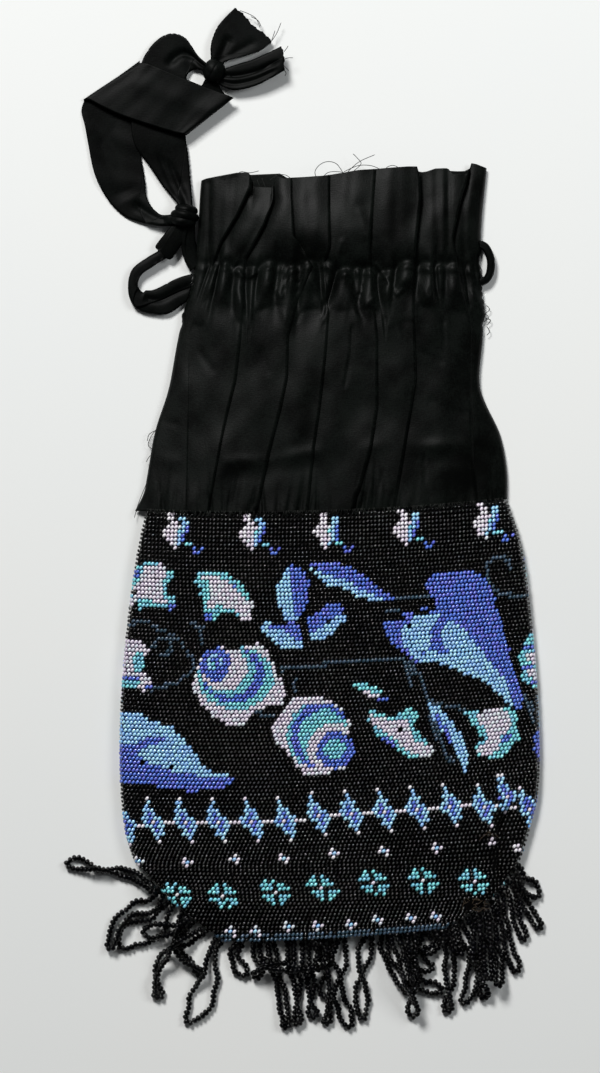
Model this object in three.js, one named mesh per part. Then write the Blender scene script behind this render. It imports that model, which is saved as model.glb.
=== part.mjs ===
// A bead-knitted reticule lying on its back: a beaded pouch, a gathered satin top,
// a satin drawstring ribbon tied into a carrying loop, and a fringe of bead loops.
// Millimetres. X runs across the bag, Y towards its mouth and Z up from the table.
import * as THREE from 'three';

// Driving dimensions.
const beadWall = 2; // bead knitting, thread and beads together
const satinWall = 1;
const beadEdgeHeight = 5; // the pouch's thickness at its sides
const satinEdgeHeight = 3;
const sewnGap = 0.3; // between pieces that are sewn or tied together
const ribbonThickness = 1;
const strandDiameter = 2.2; // one strung bead
const strandGap = 0.3; // between the two legs of a bead loop
const strandSides = 6;
const layGap = 0.75; // room between a strand and the one that it lies over
const laySlope = 0.4; // the steepest climb of a strand over another
const layStep = 1.2; // spacing of the points at which a strand is laid
const layTolerance = 0.2; // how far a strand's finished line may cut a corner
const strandRootHeight = 2.4; // where a strand leaves the pouch's edge

const frontPoints = 37;
const backPoints = 13;

// Rows of the pouch from its rim to its bottom edge. leftX to rightY are a row's two ends, dip is how far
// its middle hangs below the line between them, and crown is the height of the front there.
const pouchRows = [
  { leftX: -63.5, leftY: 3.5, rightX: 81.5, rightY: 8, dip: 2.8, crown: 10 },
  { leftX: -67.5, leftY: -16, rightX: 87.5, rightY: -11, dip: 3, crown: 10.5 },
  { leftX: -71, leftY: -42, rightX: 91, rightY: -36.5, dip: 3, crown: 11 },
  { leftX: -73.5, leftY: -72, rightX: 93.5, rightY: -65.5, dip: 3, crown: 11 },
  { leftX: -74, leftY: -96, rightX: 94.5, rightY: -89, dip: 3, crown: 11 },
  { leftX: -73, leftY: -116, rightX: 94, rightY: -108, dip: 3, crown: 10.5 },
  { leftX: -71, leftY: -128, rightX: 91.5, rightY: -120, dip: 2.6, crown: 10 },
  { leftX: -67, leftY: -138, rightX: 87.5, rightY: -134, dip: 2, crown: 9.5 },
  { leftX: -59.5, leftY: -146, rightX: 82.5, rightY: -142.5, dip: 1.6, crown: 9 },
  { leftX: -53, leftY: -153, rightX: 76, rightY: -150.5, dip: 1.4, crown: 8.5 },
  { leftX: -43.5, leftY: -161, rightX: 67, rightY: -157.5, dip: 1.2, crown: 7.5 },
  { leftX: -33, leftY: -168.5, rightX: 57, rightY: -163, dip: 1, crown: 6 },
];

// Rows of the satin top from the pouch's rim to the frayed mouth. folds names the pleats that the row shows.
const satinRows = [
  { leftX: -63.5, leftY: 3.5, rightX: 81.5, rightY: 8, dip: 2.8, crown: 10, folds: 'skirt' },
  { leftX: -63, leftY: 18, rightX: 81.4, rightY: 20, dip: 1.6, crown: 10.2, folds: 'skirt' },
  { leftX: -59.6, leftY: 35, rightX: 78.4, rightY: 34, dip: 0.6, crown: 10.2, folds: 'skirt' },
  { leftX: -54.6, leftY: 52, rightX: 70.8, rightY: 53, dip: 0, crown: 10.2, folds: 'skirt' },
  { leftX: -50.8, leftY: 70, rightX: 71.4, rightY: 73, dip: 0, crown: 10.2, folds: 'skirt' },
  { leftX: -48, leftY: 85, rightX: 72.5, rightY: 86, dip: 0, crown: 10.2, folds: 'gathers' },
  { leftX: -45.5, leftY: 93, rightX: 71, rightY: 94, dip: 0, crown: 10.2, folds: 'gathers' },
  { leftX: -44, leftY: 100, rightX: 70.5, rightY: 102, dip: 0, crown: 10.2, folds: 'gathers' },
  { leftX: -43, leftY: 112, rightX: 71, rightY: 114, dip: 0, crown: 10.2, folds: 'ruffle' },
  { leftX: -42, leftY: 126, rightX: 72, rightY: 130, dip: 0, crown: 10.2, folds: 'ruffle' },
  { leftX: -41, leftY: 136, rightX: 73, rightY: 141, dip: 0, crown: 10.2, folds: 'ruffle' },
];

// Knife pleats: at is the fold's place across the row, from -1 to 1, run is how far it takes to rise again.
const pleats = {
  skirt: [
    { at: -0.84, run: 0.18, depth: 0.8 },
    { at: -0.65, run: 0.26, depth: 1.3 },
    { at: -0.38, run: 0.28, depth: 1.4 },
    { at: -0.09, run: 0.15, depth: 1.2 },
    { at: 0.07, run: 0.14, depth: 1 },
    { at: 0.22, run: 0.2, depth: 1.3 },
    { at: 0.43, run: 0.24, depth: 1.4 },
    { at: 0.68, run: 0.18, depth: 1 },
    { at: 0.87, run: 0.1, depth: 0.8 },
  ],
  gathers: Array.from({ length: 18 }, (_, i) => ({ at: -0.94 + i * 0.104, run: 0.09, depth: 1.3 })),
  ruffle: [
    { at: -0.9, run: 0.18, depth: 0.9 },
    { at: -0.71, run: 0.16, depth: 1.4 },
    { at: -0.54, run: 0.13, depth: 1.4 },
    { at: -0.4, run: 0.28, depth: 1 },
    { at: -0.1, run: 0.3, depth: 1.2 },
    { at: 0.21, run: 0.32, depth: 1.2 },
    { at: 0.54, run: 0.11, depth: 1.5 },
    { at: 0.66, run: 0.08, depth: 1 },
    { at: 0.75, run: 0.08, depth: 1.2 },
    { at: 0.84, run: 0.12, depth: 1.4 },
  ],
};

// The mouth's uneven edge: rise is how far it stands above the line between the row's ends.
const mouthEdge = [
  { at: -1, rise: 0 },
  { at: -0.75, rise: 2.2 },
  { at: -0.5, rise: 1.4 },
  { at: -0.42, rise: -0.8 },
  { at: -0.15, rise: -0.6 },
  { at: 0.1, rise: 1 },
  { at: 0.45, rise: 1.6 },
  { at: 0.53, rise: -1.8 },
  { at: 0.64, rise: 0.4 },
  { at: 0.74, rise: 0 },
  { at: 0.8, rise: -2 },
  { at: 0.88, rise: -2 },
  { at: 0.92, rise: 1.4 },
  { at: 1, rise: 0 },
];

// Ribbon stations: the middle of the ribbon, the direction of its width in degrees from X, its width,
// its height above the table and, where it is rolled, its thickness.
const ribbonRuns = {
  ribbon_left_loop: [
    { x: -46.2, y: 93.8, across: 76, width: 8, z: 2.2 },
    { x: -50.2, y: 91.6, across: 108, width: 10, z: 2.4 },
    { x: -57, y: 87.8, across: 118, width: 10.6, z: 2.2 },
    { x: -62.4, y: 87.2, across: 98, width: 9, z: 2 },
    { x: -66.6, y: 89, across: 48, width: 5.6, z: 2, thick: 2 },
    { x: -68.5, y: 93.8, across: 2, width: 3.8, z: 2, thick: 2.6 },
    { x: -66.9, y: 99.4, across: -32, width: 3.8, z: 2.2, thick: 2.6 },
    { x: -61.8, y: 103.6, across: -62, width: 4, z: 2.6, thick: 2.4 },
    { x: -57, y: 106.4, across: -50, width: 4.4, z: 3, thick: 2.2 },
    { x: -56.2, y: 107.4, across: -38, width: 7.6, z: 3.1, thick: 2 },
    { x: -52.4, y: 112.4, across: -36, width: 7.6, z: 3.8, thick: 2 },
    { x: -50.9, y: 115.2, across: -30, width: 4.6, z: 4, thick: 2 },
  ],
  ribbon_short_strand: [
    { x: -46.2, y: 115.2, across: 0, width: 3.8, z: 3.6, thick: 2.4 },
    { x: -46.6, y: 109, across: 0, width: 4, z: 2.6, thick: 2.2 },
    { x: -46.4, y: 104.5, across: 12, width: 3.6, z: 2.2, thick: 2 },
    { x: -45.6, y: 101.8, across: 50, width: 3, z: 1.9, thick: 1.8 },
    { x: -44.4, y: 101, across: 85, width: 2.4, z: 1.7, thick: 1.8 },
  ],
  ribbon_side_loop: [
    { x: 71.1, y: 110, across: 90, width: 2.6, z: 1.8 },
    { x: 73.4, y: 108.2, across: 45, width: 2.8, z: 1.8 },
    { x: 74.6, y: 103, across: 0, width: 2.8, z: 1.8 },
    { x: 73.8, y: 98, across: -45, width: 2.8, z: 1.8 },
    { x: 71.5, y: 96, across: -85, width: 2.6, z: 1.8 },
  ],
  ribbon_handle_left: [
    { x: -53.6, y: 120.2, across: 100, width: 4, z: 3.6, thick: 2.6 },
    { x: -58.4, y: 120.4, across: 84, width: 4.4, z: 2.8, thick: 2.4 },
    { x: -63.2, y: 122.8, across: 58, width: 7.4, z: 1.8, thick: 1.6 },
    { x: -67.8, y: 126.4, across: 41, width: 12, z: 1.2 },
    { x: -71.4, y: 132.4, across: 24, width: 16.4, z: 0.8 },
    { x: -74.6, y: 141.4, across: 14, width: 19.4, z: 0.8 },
    { x: -76.6, y: 151.2, across: 7, width: 20, z: 0.8 },
    { x: -78.2, y: 160, across: 8, width: 20, z: 0.8 },
    { x: -78.4, y: 167, across: 20, width: 22, z: 0.8 },
    { x: -76.4, y: 175.2, across: 37, width: 25.4, z: 0.9 },
    { x: -76.9, y: 176.2, across: 37, width: 25.2, z: 2.4 },
    { x: -76.2, y: 175.4, across: 37, width: 25.4, z: 3.9 },
    { x: -71.8, y: 175.6, across: 51, width: 21, z: 4.1 },
    { x: -60, y: 171.6, across: 69, width: 20, z: 4.2 },
    { x: -49.4, y: 167.2, across: 69, width: 20, z: 4.6 },
    { x: -43, y: 164.8, across: 50, width: 21, z: 5 },
    { x: -38.8, y: 163, across: 34, width: 22.6, z: 5.2 },
    { x: -37.9, y: 161.8, across: 34, width: 22.6, z: 3.9 },
    { x: -38.2, y: 163.2, across: 33, width: 19.6, z: 2.6 },
    { x: -38.8, y: 169, across: 14, width: 15, z: 2 },
    { x: -37.8, y: 173, across: 4, width: 7.5, z: 2.2, thick: 1.4 },
    { x: -36.8, y: 175.2, across: -10, width: 4.4, z: 2.6, thick: 1.8 },
  ],
  ribbon_handle_right: [
    { x: -46.8, y: 127.2, across: 8, width: 4.2, z: 4, thick: 2.6 },
    { x: -48.4, y: 131, across: 10, width: 8, z: 2.6, thick: 1.6 },
    { x: -51.2, y: 136, across: 12, width: 11.6, z: 1.6 },
    { x: -54.2, y: 144.4, across: 12, width: 15.6, z: 1.4 },
    { x: -57.2, y: 152.8, across: 6, width: 20, z: 2.2 },
    { x: -57.6, y: 164, across: 0, width: 20, z: 2.2 },
    { x: -57.2, y: 174, across: -5, width: 19.6, z: 2.2 },
    { x: -55.2, y: 182.4, across: -28, width: 18.2, z: 1.8 },
    { x: -50.6, y: 186.2, across: -58, width: 16.4, z: 1.8 },
    { x: -45.8, y: 185.8, across: -70, width: 11.6, z: 2, thick: 1.2 },
    { x: -41.8, y: 183, across: -64, width: 5.4, z: 2.8, thick: 1.8 },
  ],
  ribbon_tail_upper: [
    { x: -34.8, y: 184.4, across: -10, width: 5, z: 3.4, thick: 1.8 },
    { x: -31.6, y: 187.6, across: -21, width: 12.4, z: 3, thick: 1.2 },
    { x: -26.2, y: 193, across: -34, width: 19, z: 2.6 },
    { x: -20.2, y: 198.4, across: -42.6, width: 20, z: 2.4 },
  ],
  ribbon_tail_lower: [
    { x: -31.8, y: 177.2, across: -95, width: 4.8, z: 3.6, thick: 2 },
    { x: -27, y: 176.9, across: -93, width: 9, z: 4.2, thick: 1.4 },
    { x: -20.2, y: 178.4, across: -76, width: 8.8, z: 4.8 },
    { x: -8.2, y: 184.8, across: -82, width: 9.6, z: 5.4 },
  ],
};

// Knots: the middle and half sizes of the drawn-up ribbon.
const ribbonKnots = {
  ribbon_knot: { x: -47.6, y: 121.2, z: 4.7, halfX: 5.4, halfY: 5.4, halfZ: 4.2 },
  ribbon_end_knot: { x: -36, y: 179.6, z: 3.3, halfX: 3.6, halfY: 4.2, halfZ: 3.1 },
};

// Bead loops in the order in which they are laid down: where a loop leaves the pouch's lower edge and then,
// point by point to its tip, x, y and the distance between the middles of its two legs. A distance of 0 is
// where the legs cross.
const fringeLoops = [
  { root: [-53.5, -154], spine: [[-58, -161, 6], [-62.5, -164.5, 9], [-69, -166.5, 9], [-72, -169.5, 6], [-75, -172.5, 3]] },
  { root: [-57.5, -150], spine: [[-62, -155, 4.4], [-68, -156, 4.4], [-74.5, -161, 3.4], [-76, -166, 3], [-78.5, -173, 2.6]] },
  { root: [-59, -146], spine: [[-66.5, -143, 2.2], [-73, -141.5, 2.2], [-83, -139.5, 0], [-90, -138, 4.9], [-96.4, -137.5, 3]] },
  { root: [-47.5, -158], spine: [[-50.5, -163.5, 3], [-56.5, -164, 4], [-61.5, -165, 5], [-66, -165, 3]] },
  { root: [-45, -160], spine: [[-51, -167, 2.2], [-49.5, -173.5, 2.2], [-45, -178, 2.2], [-41, -183, 2.2]] },
  { root: [-40, -163.5], spine: [[-47.5, -168.5, 2.2], [-53, -171.5, 2.2], [-58.5, -178.5, 2.2], [-59, -184, 0], [-58, -193, 3.4]] },
  { root: [-34, -168], spine: [[-36, -172, 2.2], [-37.5, -177.5, 2.4], [-38, -184, 7], [-42, -194, 8.4], [-47.5, -202.5, 3.6]] },
  { root: [-26, -169.5], spine: [[-28.5, -173, 2.2], [-27.5, -176, 2.4], [-25.5, -179.5, 4.8], [-22, -183.5, 3]] },
  { root: [-19, -169.5], spine: [[-19.5, -172.5, 2.2], [-18.5, -175.5, 2.2], [-15, -178.5, 2.2]] },
  { root: [-13.5, -169], spine: [[-12, -177, 2.2], [-9.5, -188, 2.2], [-7.5, -198, 2.2], [-7, -205, 2.2]] },
  { root: [-5.5, -169], spine: [[-5, -177, 2.6], [-3, -186, 2.4], [-2.5, -193.5, 0], [-2.5, -199, 2.6], [-3, -203.5, 2.4]] },
  { root: [0.5, -168.5], spine: [[1, -177, 2.4], [2.5, -186, 2.4], [3, -193, 0], [3.5, -197, 3.7], [3.5, -201, 3]] },
  { root: [9.5, -168], spine: [[8.5, -172.5, 4], [9, -181, 0], [8.5, -188, 3.6], [10, -193, 0], [9, -203.5, 2.6]] },
  { root: [15, -168], spine: [[14.5, -175.5, 5.6], [14.5, -183, 0], [14, -188.5, 3], [16, -197, 5], [19, -204.5, 3.2]] },
  { root: [4.8, -168], spine: [[7, -173, 2.2], [5.5, -178.5, 2.4], [-0.5, -179.5, 0], [-7.5, -179, 3.4], [-14.5, -178.5, 0], [-21, -184, 2.8]] },
  { root: [25.5, -166.5], spine: [[24, -175.5, 5.4], [23, -182.5, 0], [23, -187.5, 4.6], [23.5, -201.5, 2.4]] },
  { root: [39.6, -166], spine: [[43, -178, 2.2], [46.5, -186, 4], [51.5, -187.5, 5], [56.5, -189, 3.2]] },
  { root: [46.4, -165.4], spine: [[45, -172, 2.2], [47, -178, 4], [53, -180, 3]] },
  { root: [51, -164.8], spine: [[53, -169.5, 2.2], [51, -172.5, 2.2], [46.5, -172, 2.2]] },
  { root: [32.4, -166.2], spine: [[32.5, -173, 2.4], [35.5, -179.5, 2.2], [40, -186, 2.2], [43, -191, 2.2]] },
  { root: [43, -165.6], spine: [[43, -174, 2.2], [44, -181, 2.2], [45, -188, 2.2]] },
  { root: [36.2, -166], spine: [[39, -176, 2.2], [42.5, -186, 2.2], [43, -190.5, 0], [43.5, -195.5, 4], [44, -200.5, 3]] },
  { root: [57.5, -163], spine: [[59, -168.5, 2.2], [61, -172, 2.2], [65, -174, 2.2]] },
  { root: [54.2, -164], spine: [[57, -169.5, 2.2], [58.5, -175, 2.4], [58.5, -183, 4.4], [58, -189, 0], [57.5, -198.5, 3.6]] },
  { root: [61.5, -161], spine: [[64, -167, 2.2], [67, -173, 2.4], [67.5, -180, 3], [66.5, -188, 4.4], [63, -195, 3]] },
  { root: [66.5, -158.5], spine: [[69, -166, 2.2], [69.5, -178, 2.4], [71, -184, 0], [72, -189, 3.4], [72.5, -193, 3]] },
  { root: [70, -155.5], spine: [[72.5, -166, 2.2], [73.5, -176, 2.2], [74.5, -185, 2.2]] },
  { root: [73.5, -153], spine: [[76, -167, 2.4], [78, -178, 2.6], [78, -187.5, 2.6]] },
  { root: [77, -149.5], spine: [[80.5, -165, 2.2], [82.5, -172, 3.4], [84.5, -178, 3.6], [85.5, -182.5, 2.8]] },
  { root: [80.5, -145.5], spine: [[85, -157.5, 2.2], [86.5, -163.5, 3], [89, -169.5, 2.6]] },
  { root: [83.5, -141.5], spine: [[87.5, -152.5, 2.2], [91, -157.5, 2.2], [95.5, -165, 2.2]] },
  { root: [84.6, -139.4], spine: [[87, -143.4, 3], [90.2, -146.8, 5.6], [95, -152, 3.4]] },
];

// Materials.
const beadGlass = new THREE.MeshStandardMaterial({ color: 0x0b0b0d, roughness: 0.2, metalness: 0 });
const beadKnit = new THREE.MeshStandardMaterial({ color: 0x101114, roughness: 0.3, metalness: 0 });
const satin = new THREE.MeshStandardMaterial({ color: 0x121314, roughness: 0.5, metalness: 0 });
const ribbonSatin = new THREE.MeshStandardMaterial({ color: 0x141516, roughness: 0.45, metalness: 0 });

const lerp = THREE.MathUtils.lerp;
const degrees = THREE.MathUtils.degToRad;

// Joins rings of equal length into one closed surface. joined runs the last ring back into the first, and
// otherwise both ends are closed with a fan round the ring's middle. Faces are turned to point outwards.
function loft(rings, joined) {
  const count = rings[0].length;
  const points = rings.flat();
  const triangles = [];
  const bands = joined ? rings.length : rings.length - 1;
  for (let i = 0; i < bands; i++) {
    const near = i * count;
    const far = ((i + 1) % rings.length) * count;
    for (let k = 0; k < count; k++) {
      const next = (k + 1) % count;
      triangles.push([near + k, near + next, far + k], [far + k, near + next, far + next]);
    }
  }
  const fan = (first, turned) => {
    const ring = points.slice(first, first + count);
    const middle = ring.reduce((sum, p) => sum.add(p), new THREE.Vector3()).divideScalar(count);
    points.push(middle);
    for (let k = 0; k < count; k++) {
      const edge = [first + k, first + ((k + 1) % count)];
      triangles.push([points.length - 1, ...(turned ? edge : edge.reverse())]);
    }
  };
  if (!joined) {
    fan(0, false);
    fan((rings.length - 1) * count, true);
  }
  const volume = triangles.reduce((sum, [a, b, c]) => {
    const cross = new THREE.Vector3().crossVectors(points[b], points[c]);
    return sum + points[a].dot(cross);
  }, 0);
  const outward = volume > 0 ? triangles : triangles.map(([a, b, c]) => [a, c, b]);
  const geometry = new THREE.BufferGeometry().setFromPoints(points);
  geometry.setIndex(outward.flat());
  geometry.computeVertexNormals();
  return geometry;
}

// One closed ring round the bag at a row. wall is 0 for the outside and the wall's thickness for the inside.
function bagRing(row, wall, edgeHeight, relief, rise) {
  const left = new THREE.Vector2(row.leftX, row.leftY);
  const right = new THREE.Vector2(row.rightX, row.rightY);
  const across = right.clone().sub(left).normalize();
  const middle = left.clone().add(right).multiplyScalar(0.5);
  const halfWidth = left.distanceTo(right) / 2 - wall;
  const halfEdge = edgeHeight / 2 - wall;
  const place = (a, z) => {
    const t = a / halfWidth;
    const p = middle.clone().addScaledVector(across, a);
    return new THREE.Vector3(p.x, p.y - row.dip * (1 - t * t) + rise(t), z);
  };
  const front = (a) => {
    const t = a / halfWidth;
    const swell = (row.crown - edgeHeight) * (1 - t ** 4);
    return edgeHeight + swell - relief(t) * (1 - t ** 8) - wall;
  };
  const inner = halfWidth - halfEdge;
  const side = (sign) => {
    const lean = halfEdge * Math.SQRT1_2;
    const shoulder = sign * (inner + lean);
    return [
      place(shoulder, edgeHeight / 2 - lean),
      place(sign * halfWidth, edgeHeight / 2),
      place(shoulder, edgeHeight / 2 + lean),
    ];
  };
  const spread = (n) => Array.from({ length: n }, (_, i) => lerp(-inner, inner, i / (n - 1)));
  const back = spread(backPoints).map((a) => place(a, wall));
  const top = spread(frontPoints).map((a) => place(a, front(a)));
  return [...back, ...side(1), ...top.reverse(), ...side(-1).reverse()];
}

const level = () => 0;

function pleatDepth(folds, t) {
  return folds.reduce((deepest, fold) => {
    const along = (t - fold.at) / fold.run;
    const depth = along >= 0 && along < 1 ? fold.depth * (1 - along) : 0;
    return Math.max(deepest, depth);
  }, 0);
}

function mouthRise(t) {
  const after = mouthEdge.findIndex((point) => point.at >= t);
  const high = mouthEdge[Math.max(after, 1)];
  const low = mouthEdge[Math.max(after, 1) - 1];
  return lerp(low.rise, high.rise, (t - low.at) / (high.at - low.at));
}

// The beaded pouch: outside from its bottom edge up to the rim, and inside back down to a closed bottom.
function pouchGeometry() {
  const last = pouchRows[pouchRows.length - 1];
  const insideBottom = { ...last, leftY: last.leftY + beadWall, rightY: last.rightY + beadWall };
  const insideRows = [...pouchRows.slice(0, -1), insideBottom];
  const outside = pouchRows.map((row) => bagRing(row, 0, beadEdgeHeight, level, level));
  const inside = insideRows.map((row) => bagRing(row, beadWall, beadEdgeHeight, level, level));
  return loft([...outside.reverse(), ...inside], false);
}

// The gathered satin top, a tube that is open at the rim and at the mouth.
function satinGeometry() {
  const last = satinRows.length - 1;
  const rings = (wall) =>
    satinRows.map((row, i) => {
      const relief = (t) => pleatDepth(pleats[row.folds], t);
      const lift = { ...row, leftY: row.leftY + (i ? 0 : sewnGap), rightY: row.rightY + (i ? 0 : sewnGap) };
      return bagRing(lift, wall, satinEdgeHeight, relief, i === last ? mouthRise : level);
    });
  return loft([...rings(0), ...rings(satinWall).reverse()], true);
}

// A length of ribbon through its stations, as a flat strip with square edges.
function ribbonGeometry(stations) {
  const centres = stations.map((s) => new THREE.Vector3(s.x, s.y, s.z));
  const rings = stations.map((station, i) => {
    const before = centres[Math.max(i - 1, 0)];
    const after = centres[Math.min(i + 1, centres.length - 1)];
    const along = after.clone().sub(before).normalize();
    const angle = degrees(station.across);
    const across = new THREE.Vector3(Math.cos(angle), Math.sin(angle), 0);
    const up = new THREE.Vector3().crossVectors(across, along).normalize();
    const halfThick = (station.thick ?? ribbonThickness) / 2;
    const corner = (side, height) =>
      centres[i]
        .clone()
        .addScaledVector(across, (side * station.width) / 2)
        .addScaledVector(up, height * halfThick);
    return [corner(-1, -1), corner(1, -1), corner(1, 1), corner(-1, 1)];
  });
  return loft(rings, false);
}

// A drawn-up knot: a rounded lump with the ribbon's turns as shallow waists.
function knotGeometry(knot) {
  const turns = 3;
  const waist = 0.07;
  const rings = [];
  const bands = 10;
  for (let i = 1; i < bands; i++) {
    const polar = (Math.PI * i) / bands;
    const pinch = 1 - waist * Math.cos(2 * turns * polar);
    const around = Array.from({ length: 14 }, (_, k) => (2 * Math.PI * k) / 14);
    rings.push(
      around.map(
        (azimuth) =>
          new THREE.Vector3(
            knot.x + knot.halfX * pinch * Math.sin(polar) * Math.cos(azimuth),
            knot.y + knot.halfY * Math.cos(polar),
            knot.z + knot.halfZ * pinch * Math.sin(polar) * Math.sin(azimuth),
          ),
      ),
    );
  }
  return loft(rings, false);
}

// The pouch's lower edge, where the fringe is sewn on: down the left side, along the bottom, up the right.
function lowerEdge() {
  const rows = pouchRows.slice(7);
  const left = rows.map((row) => new THREE.Vector3(row.leftX, row.leftY, 0));
  const right = rows.map((row) => new THREE.Vector3(row.rightX, row.rightY, 0));
  const last = rows[rows.length - 1];
  const bottom = [0.25, 0.5, 0.75].map((share) => {
    const t = 2 * share - 1;
    const y = lerp(last.leftY, last.rightY, share) - last.dip * (1 - t * t);
    return new THREE.Vector3(lerp(last.leftX, last.rightX, share), y, 0);
  });
  return [...left, ...bottom, ...right.reverse()];
}

// The point of a line that lies nearest to a place, and the direction that points away from the pouch there.
function nearestOnEdge(line, [x, y]) {
  const place = new THREE.Vector3(x, y, 0);
  const choices = line.slice(1).map((end, i) => {
    const point = new THREE.Line3(line[i], end).closestPointToPoint(place, true, new THREE.Vector3());
    const direction = end.clone().sub(line[i]).normalize();
    return { point, outward: new THREE.Vector3(direction.y, -direction.x, 0), apart: point.distanceTo(place) };
  });
  return choices.reduce((best, choice) => (choice.apart < best.apart ? choice : best));
}

// A bead loop's line seen from above: out along one leg, round the tip and back along the other.
function loopOutline(loop, edge) {
  const { point, outward } = nearestOnEdge(edge, loop.root);
  const narrow = strandDiameter + strandGap;
  const root = point.clone().addScaledVector(outward, sewnGap + 0.1);
  const clear = root.clone().addScaledVector(outward, strandDiameter);
  const stations = loop.spine.map(([x, y, apart]) => new THREE.Vector3(x, y, Math.max(apart, narrow)));
  const tip = stations[stations.length - 1];
  const inward = stations[stations.length - 2].clone().sub(tip).setZ(0).normalize();
  tip.addScaledVector(inward, tip.z / 2 + strandDiameter / 2);
  const spine = new THREE.CatmullRomCurve3([root.setZ(narrow), clear.setZ(narrow), ...stations]);
  const steps = Math.ceil(spine.getLength() / layStep);
  const legs = [1, -1].map((side) =>
    Array.from({ length: steps + 1 }, (_, i) => {
      const place = spine.getPoint(i / steps);
      const tangent = i === 0 ? outward : spine.getTangent(i / steps).setZ(0).normalize();
      const sideways = new THREE.Vector3(-tangent.y, tangent.x, 0);
      const half = place.z / 2;
      return place.setZ(0).addScaledVector(sideways, side * half);
    }),
  );
  const [first, second] = legs.map((leg) => leg[steps]);
  const middle = first.clone().add(second).multiplyScalar(0.5);
  const reach = first.clone().sub(middle);
  const onward = new THREE.Vector3(reach.y, -reach.x, 0);
  const turn = [0.25, 0.5, 0.75].map((share) => {
    const p = middle.clone().addScaledVector(reach, Math.cos(Math.PI * share));
    return p.addScaledVector(onward, Math.sin(Math.PI * share));
  });
  return [...legs[0], ...turn, ...legs[1].reverse()];
}

// Lays one loop over those that are down already: it leaves the pouch's edge, drops to the table and climbs
// over each strand that it crosses, no more steeply than laySlope.
function layLoop(outline, laid) {
  const rest = strandDiameter / 2;
  const room = strandDiameter + layGap;
  const far = outline.length - 1;
  const heights = outline.map((p) =>
    laid.reduce((height, q) => {
      const apart = Math.hypot(p.x - q.x, p.y - q.y);
      return apart < room ? Math.max(height, q.z + Math.sqrt(room * room - apart * apart)) : height;
    }, rest),
  );
  heights[0] = Math.max(heights[0], strandRootHeight);
  heights[far] = Math.max(heights[far], strandRootHeight);
  const relax = (i, from) => {
    const step = Math.hypot(outline[i].x - outline[from].x, outline[i].y - outline[from].y);
    heights[i] = Math.max(heights[i], heights[from] - laySlope * step);
  };
  for (let i = 1; i <= far; i++) relax(i, i - 1);
  for (let i = far - 1; i >= 0; i--) relax(i, i + 1);
  return outline.map((p, i) => new THREE.Vector3(p.x, p.y, heights[i]));
}

// Leaves out the points of a line that lie within the tolerance of the line without them.
function thinLine(points) {
  if (points.length < 3) return points;
  const first = points[0];
  const last = points[points.length - 1];
  const chord = new THREE.Line3(first, last);
  const nearest = new THREE.Vector3();
  let widest = 0;
  let at = 0;
  points.slice(1, -1).forEach((p, i) => {
    const apart = chord.closestPointToPoint(p, true, nearest).distanceTo(p);
    if (apart > widest) {
      widest = apart;
      at = i + 1;
    }
  });
  if (widest < layTolerance) return [first, last];
  return [...thinLine(points.slice(0, at + 1)).slice(0, -1), ...thinLine(points.slice(at))];
}

// A round strand along a line of points.
function strandGeometry(points) {
  const up = new THREE.Vector3(0, 0, 1);
  const rings = points.map((p, i) => {
    const before = points[Math.max(i - 1, 0)];
    const after = points[Math.min(i + 1, points.length - 1)];
    const into = p.clone().sub(before).normalize();
    const out = after.clone().sub(p).normalize();
    const along = into.add(out).normalize();
    const sideways = new THREE.Vector3().crossVectors(up, along).normalize();
    const above = new THREE.Vector3().crossVectors(along, sideways);
    return Array.from({ length: strandSides }, (_, k) => {
      const angle = (2 * Math.PI * k) / strandSides;
      const reach = strandDiameter / 2;
      return p
        .clone()
        .addScaledVector(sideways, reach * Math.cos(angle))
        .addScaledVector(above, reach * Math.sin(angle));
    });
  });
  return loft(rings, false);
}

const reticule = new THREE.Group();

function addPiece(name, geometry, material) {
  const mesh = new THREE.Mesh(geometry, material);
  mesh.name = name;
  reticule.add(mesh);
}

addPiece('beaded_pouch', pouchGeometry(), beadKnit);
addPiece('satin_top', satinGeometry(), satin);
Object.entries(ribbonRuns).forEach(([name, run]) => addPiece(name, ribbonGeometry(run), ribbonSatin));
Object.entries(ribbonKnots).forEach(([name, knot]) => addPiece(name, knotGeometry(knot), ribbonSatin));

const edge = lowerEdge();
const laid = [];
fringeLoops.forEach((loop, i) => {
  const line = layLoop(loopOutline(loop, edge), laid);
  laid.push(...line);
  const number = String(i + 1).padStart(2, '0');
  addPiece(`fringe_loop_${number}`, strandGeometry(thinLine(line)), beadGlass);
});

export default reticule;
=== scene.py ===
import bpy
import math
import numpy as np
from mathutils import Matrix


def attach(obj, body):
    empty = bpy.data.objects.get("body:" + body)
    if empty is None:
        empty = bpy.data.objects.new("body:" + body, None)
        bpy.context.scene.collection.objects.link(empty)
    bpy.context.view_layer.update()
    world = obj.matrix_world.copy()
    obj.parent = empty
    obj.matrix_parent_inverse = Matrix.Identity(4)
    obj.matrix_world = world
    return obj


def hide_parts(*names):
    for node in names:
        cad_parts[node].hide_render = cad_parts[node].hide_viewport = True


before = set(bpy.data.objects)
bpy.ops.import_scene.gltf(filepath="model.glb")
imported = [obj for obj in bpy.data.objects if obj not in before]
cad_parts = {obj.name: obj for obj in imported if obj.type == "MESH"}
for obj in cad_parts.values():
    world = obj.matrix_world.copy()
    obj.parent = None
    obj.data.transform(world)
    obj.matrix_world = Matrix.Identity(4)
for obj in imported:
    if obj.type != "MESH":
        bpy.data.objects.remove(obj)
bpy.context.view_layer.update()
rng = np.random.default_rng(1835)
mm = 0.001
print("frame loaded:", len(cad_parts), "nodes")


# shared tools

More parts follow.
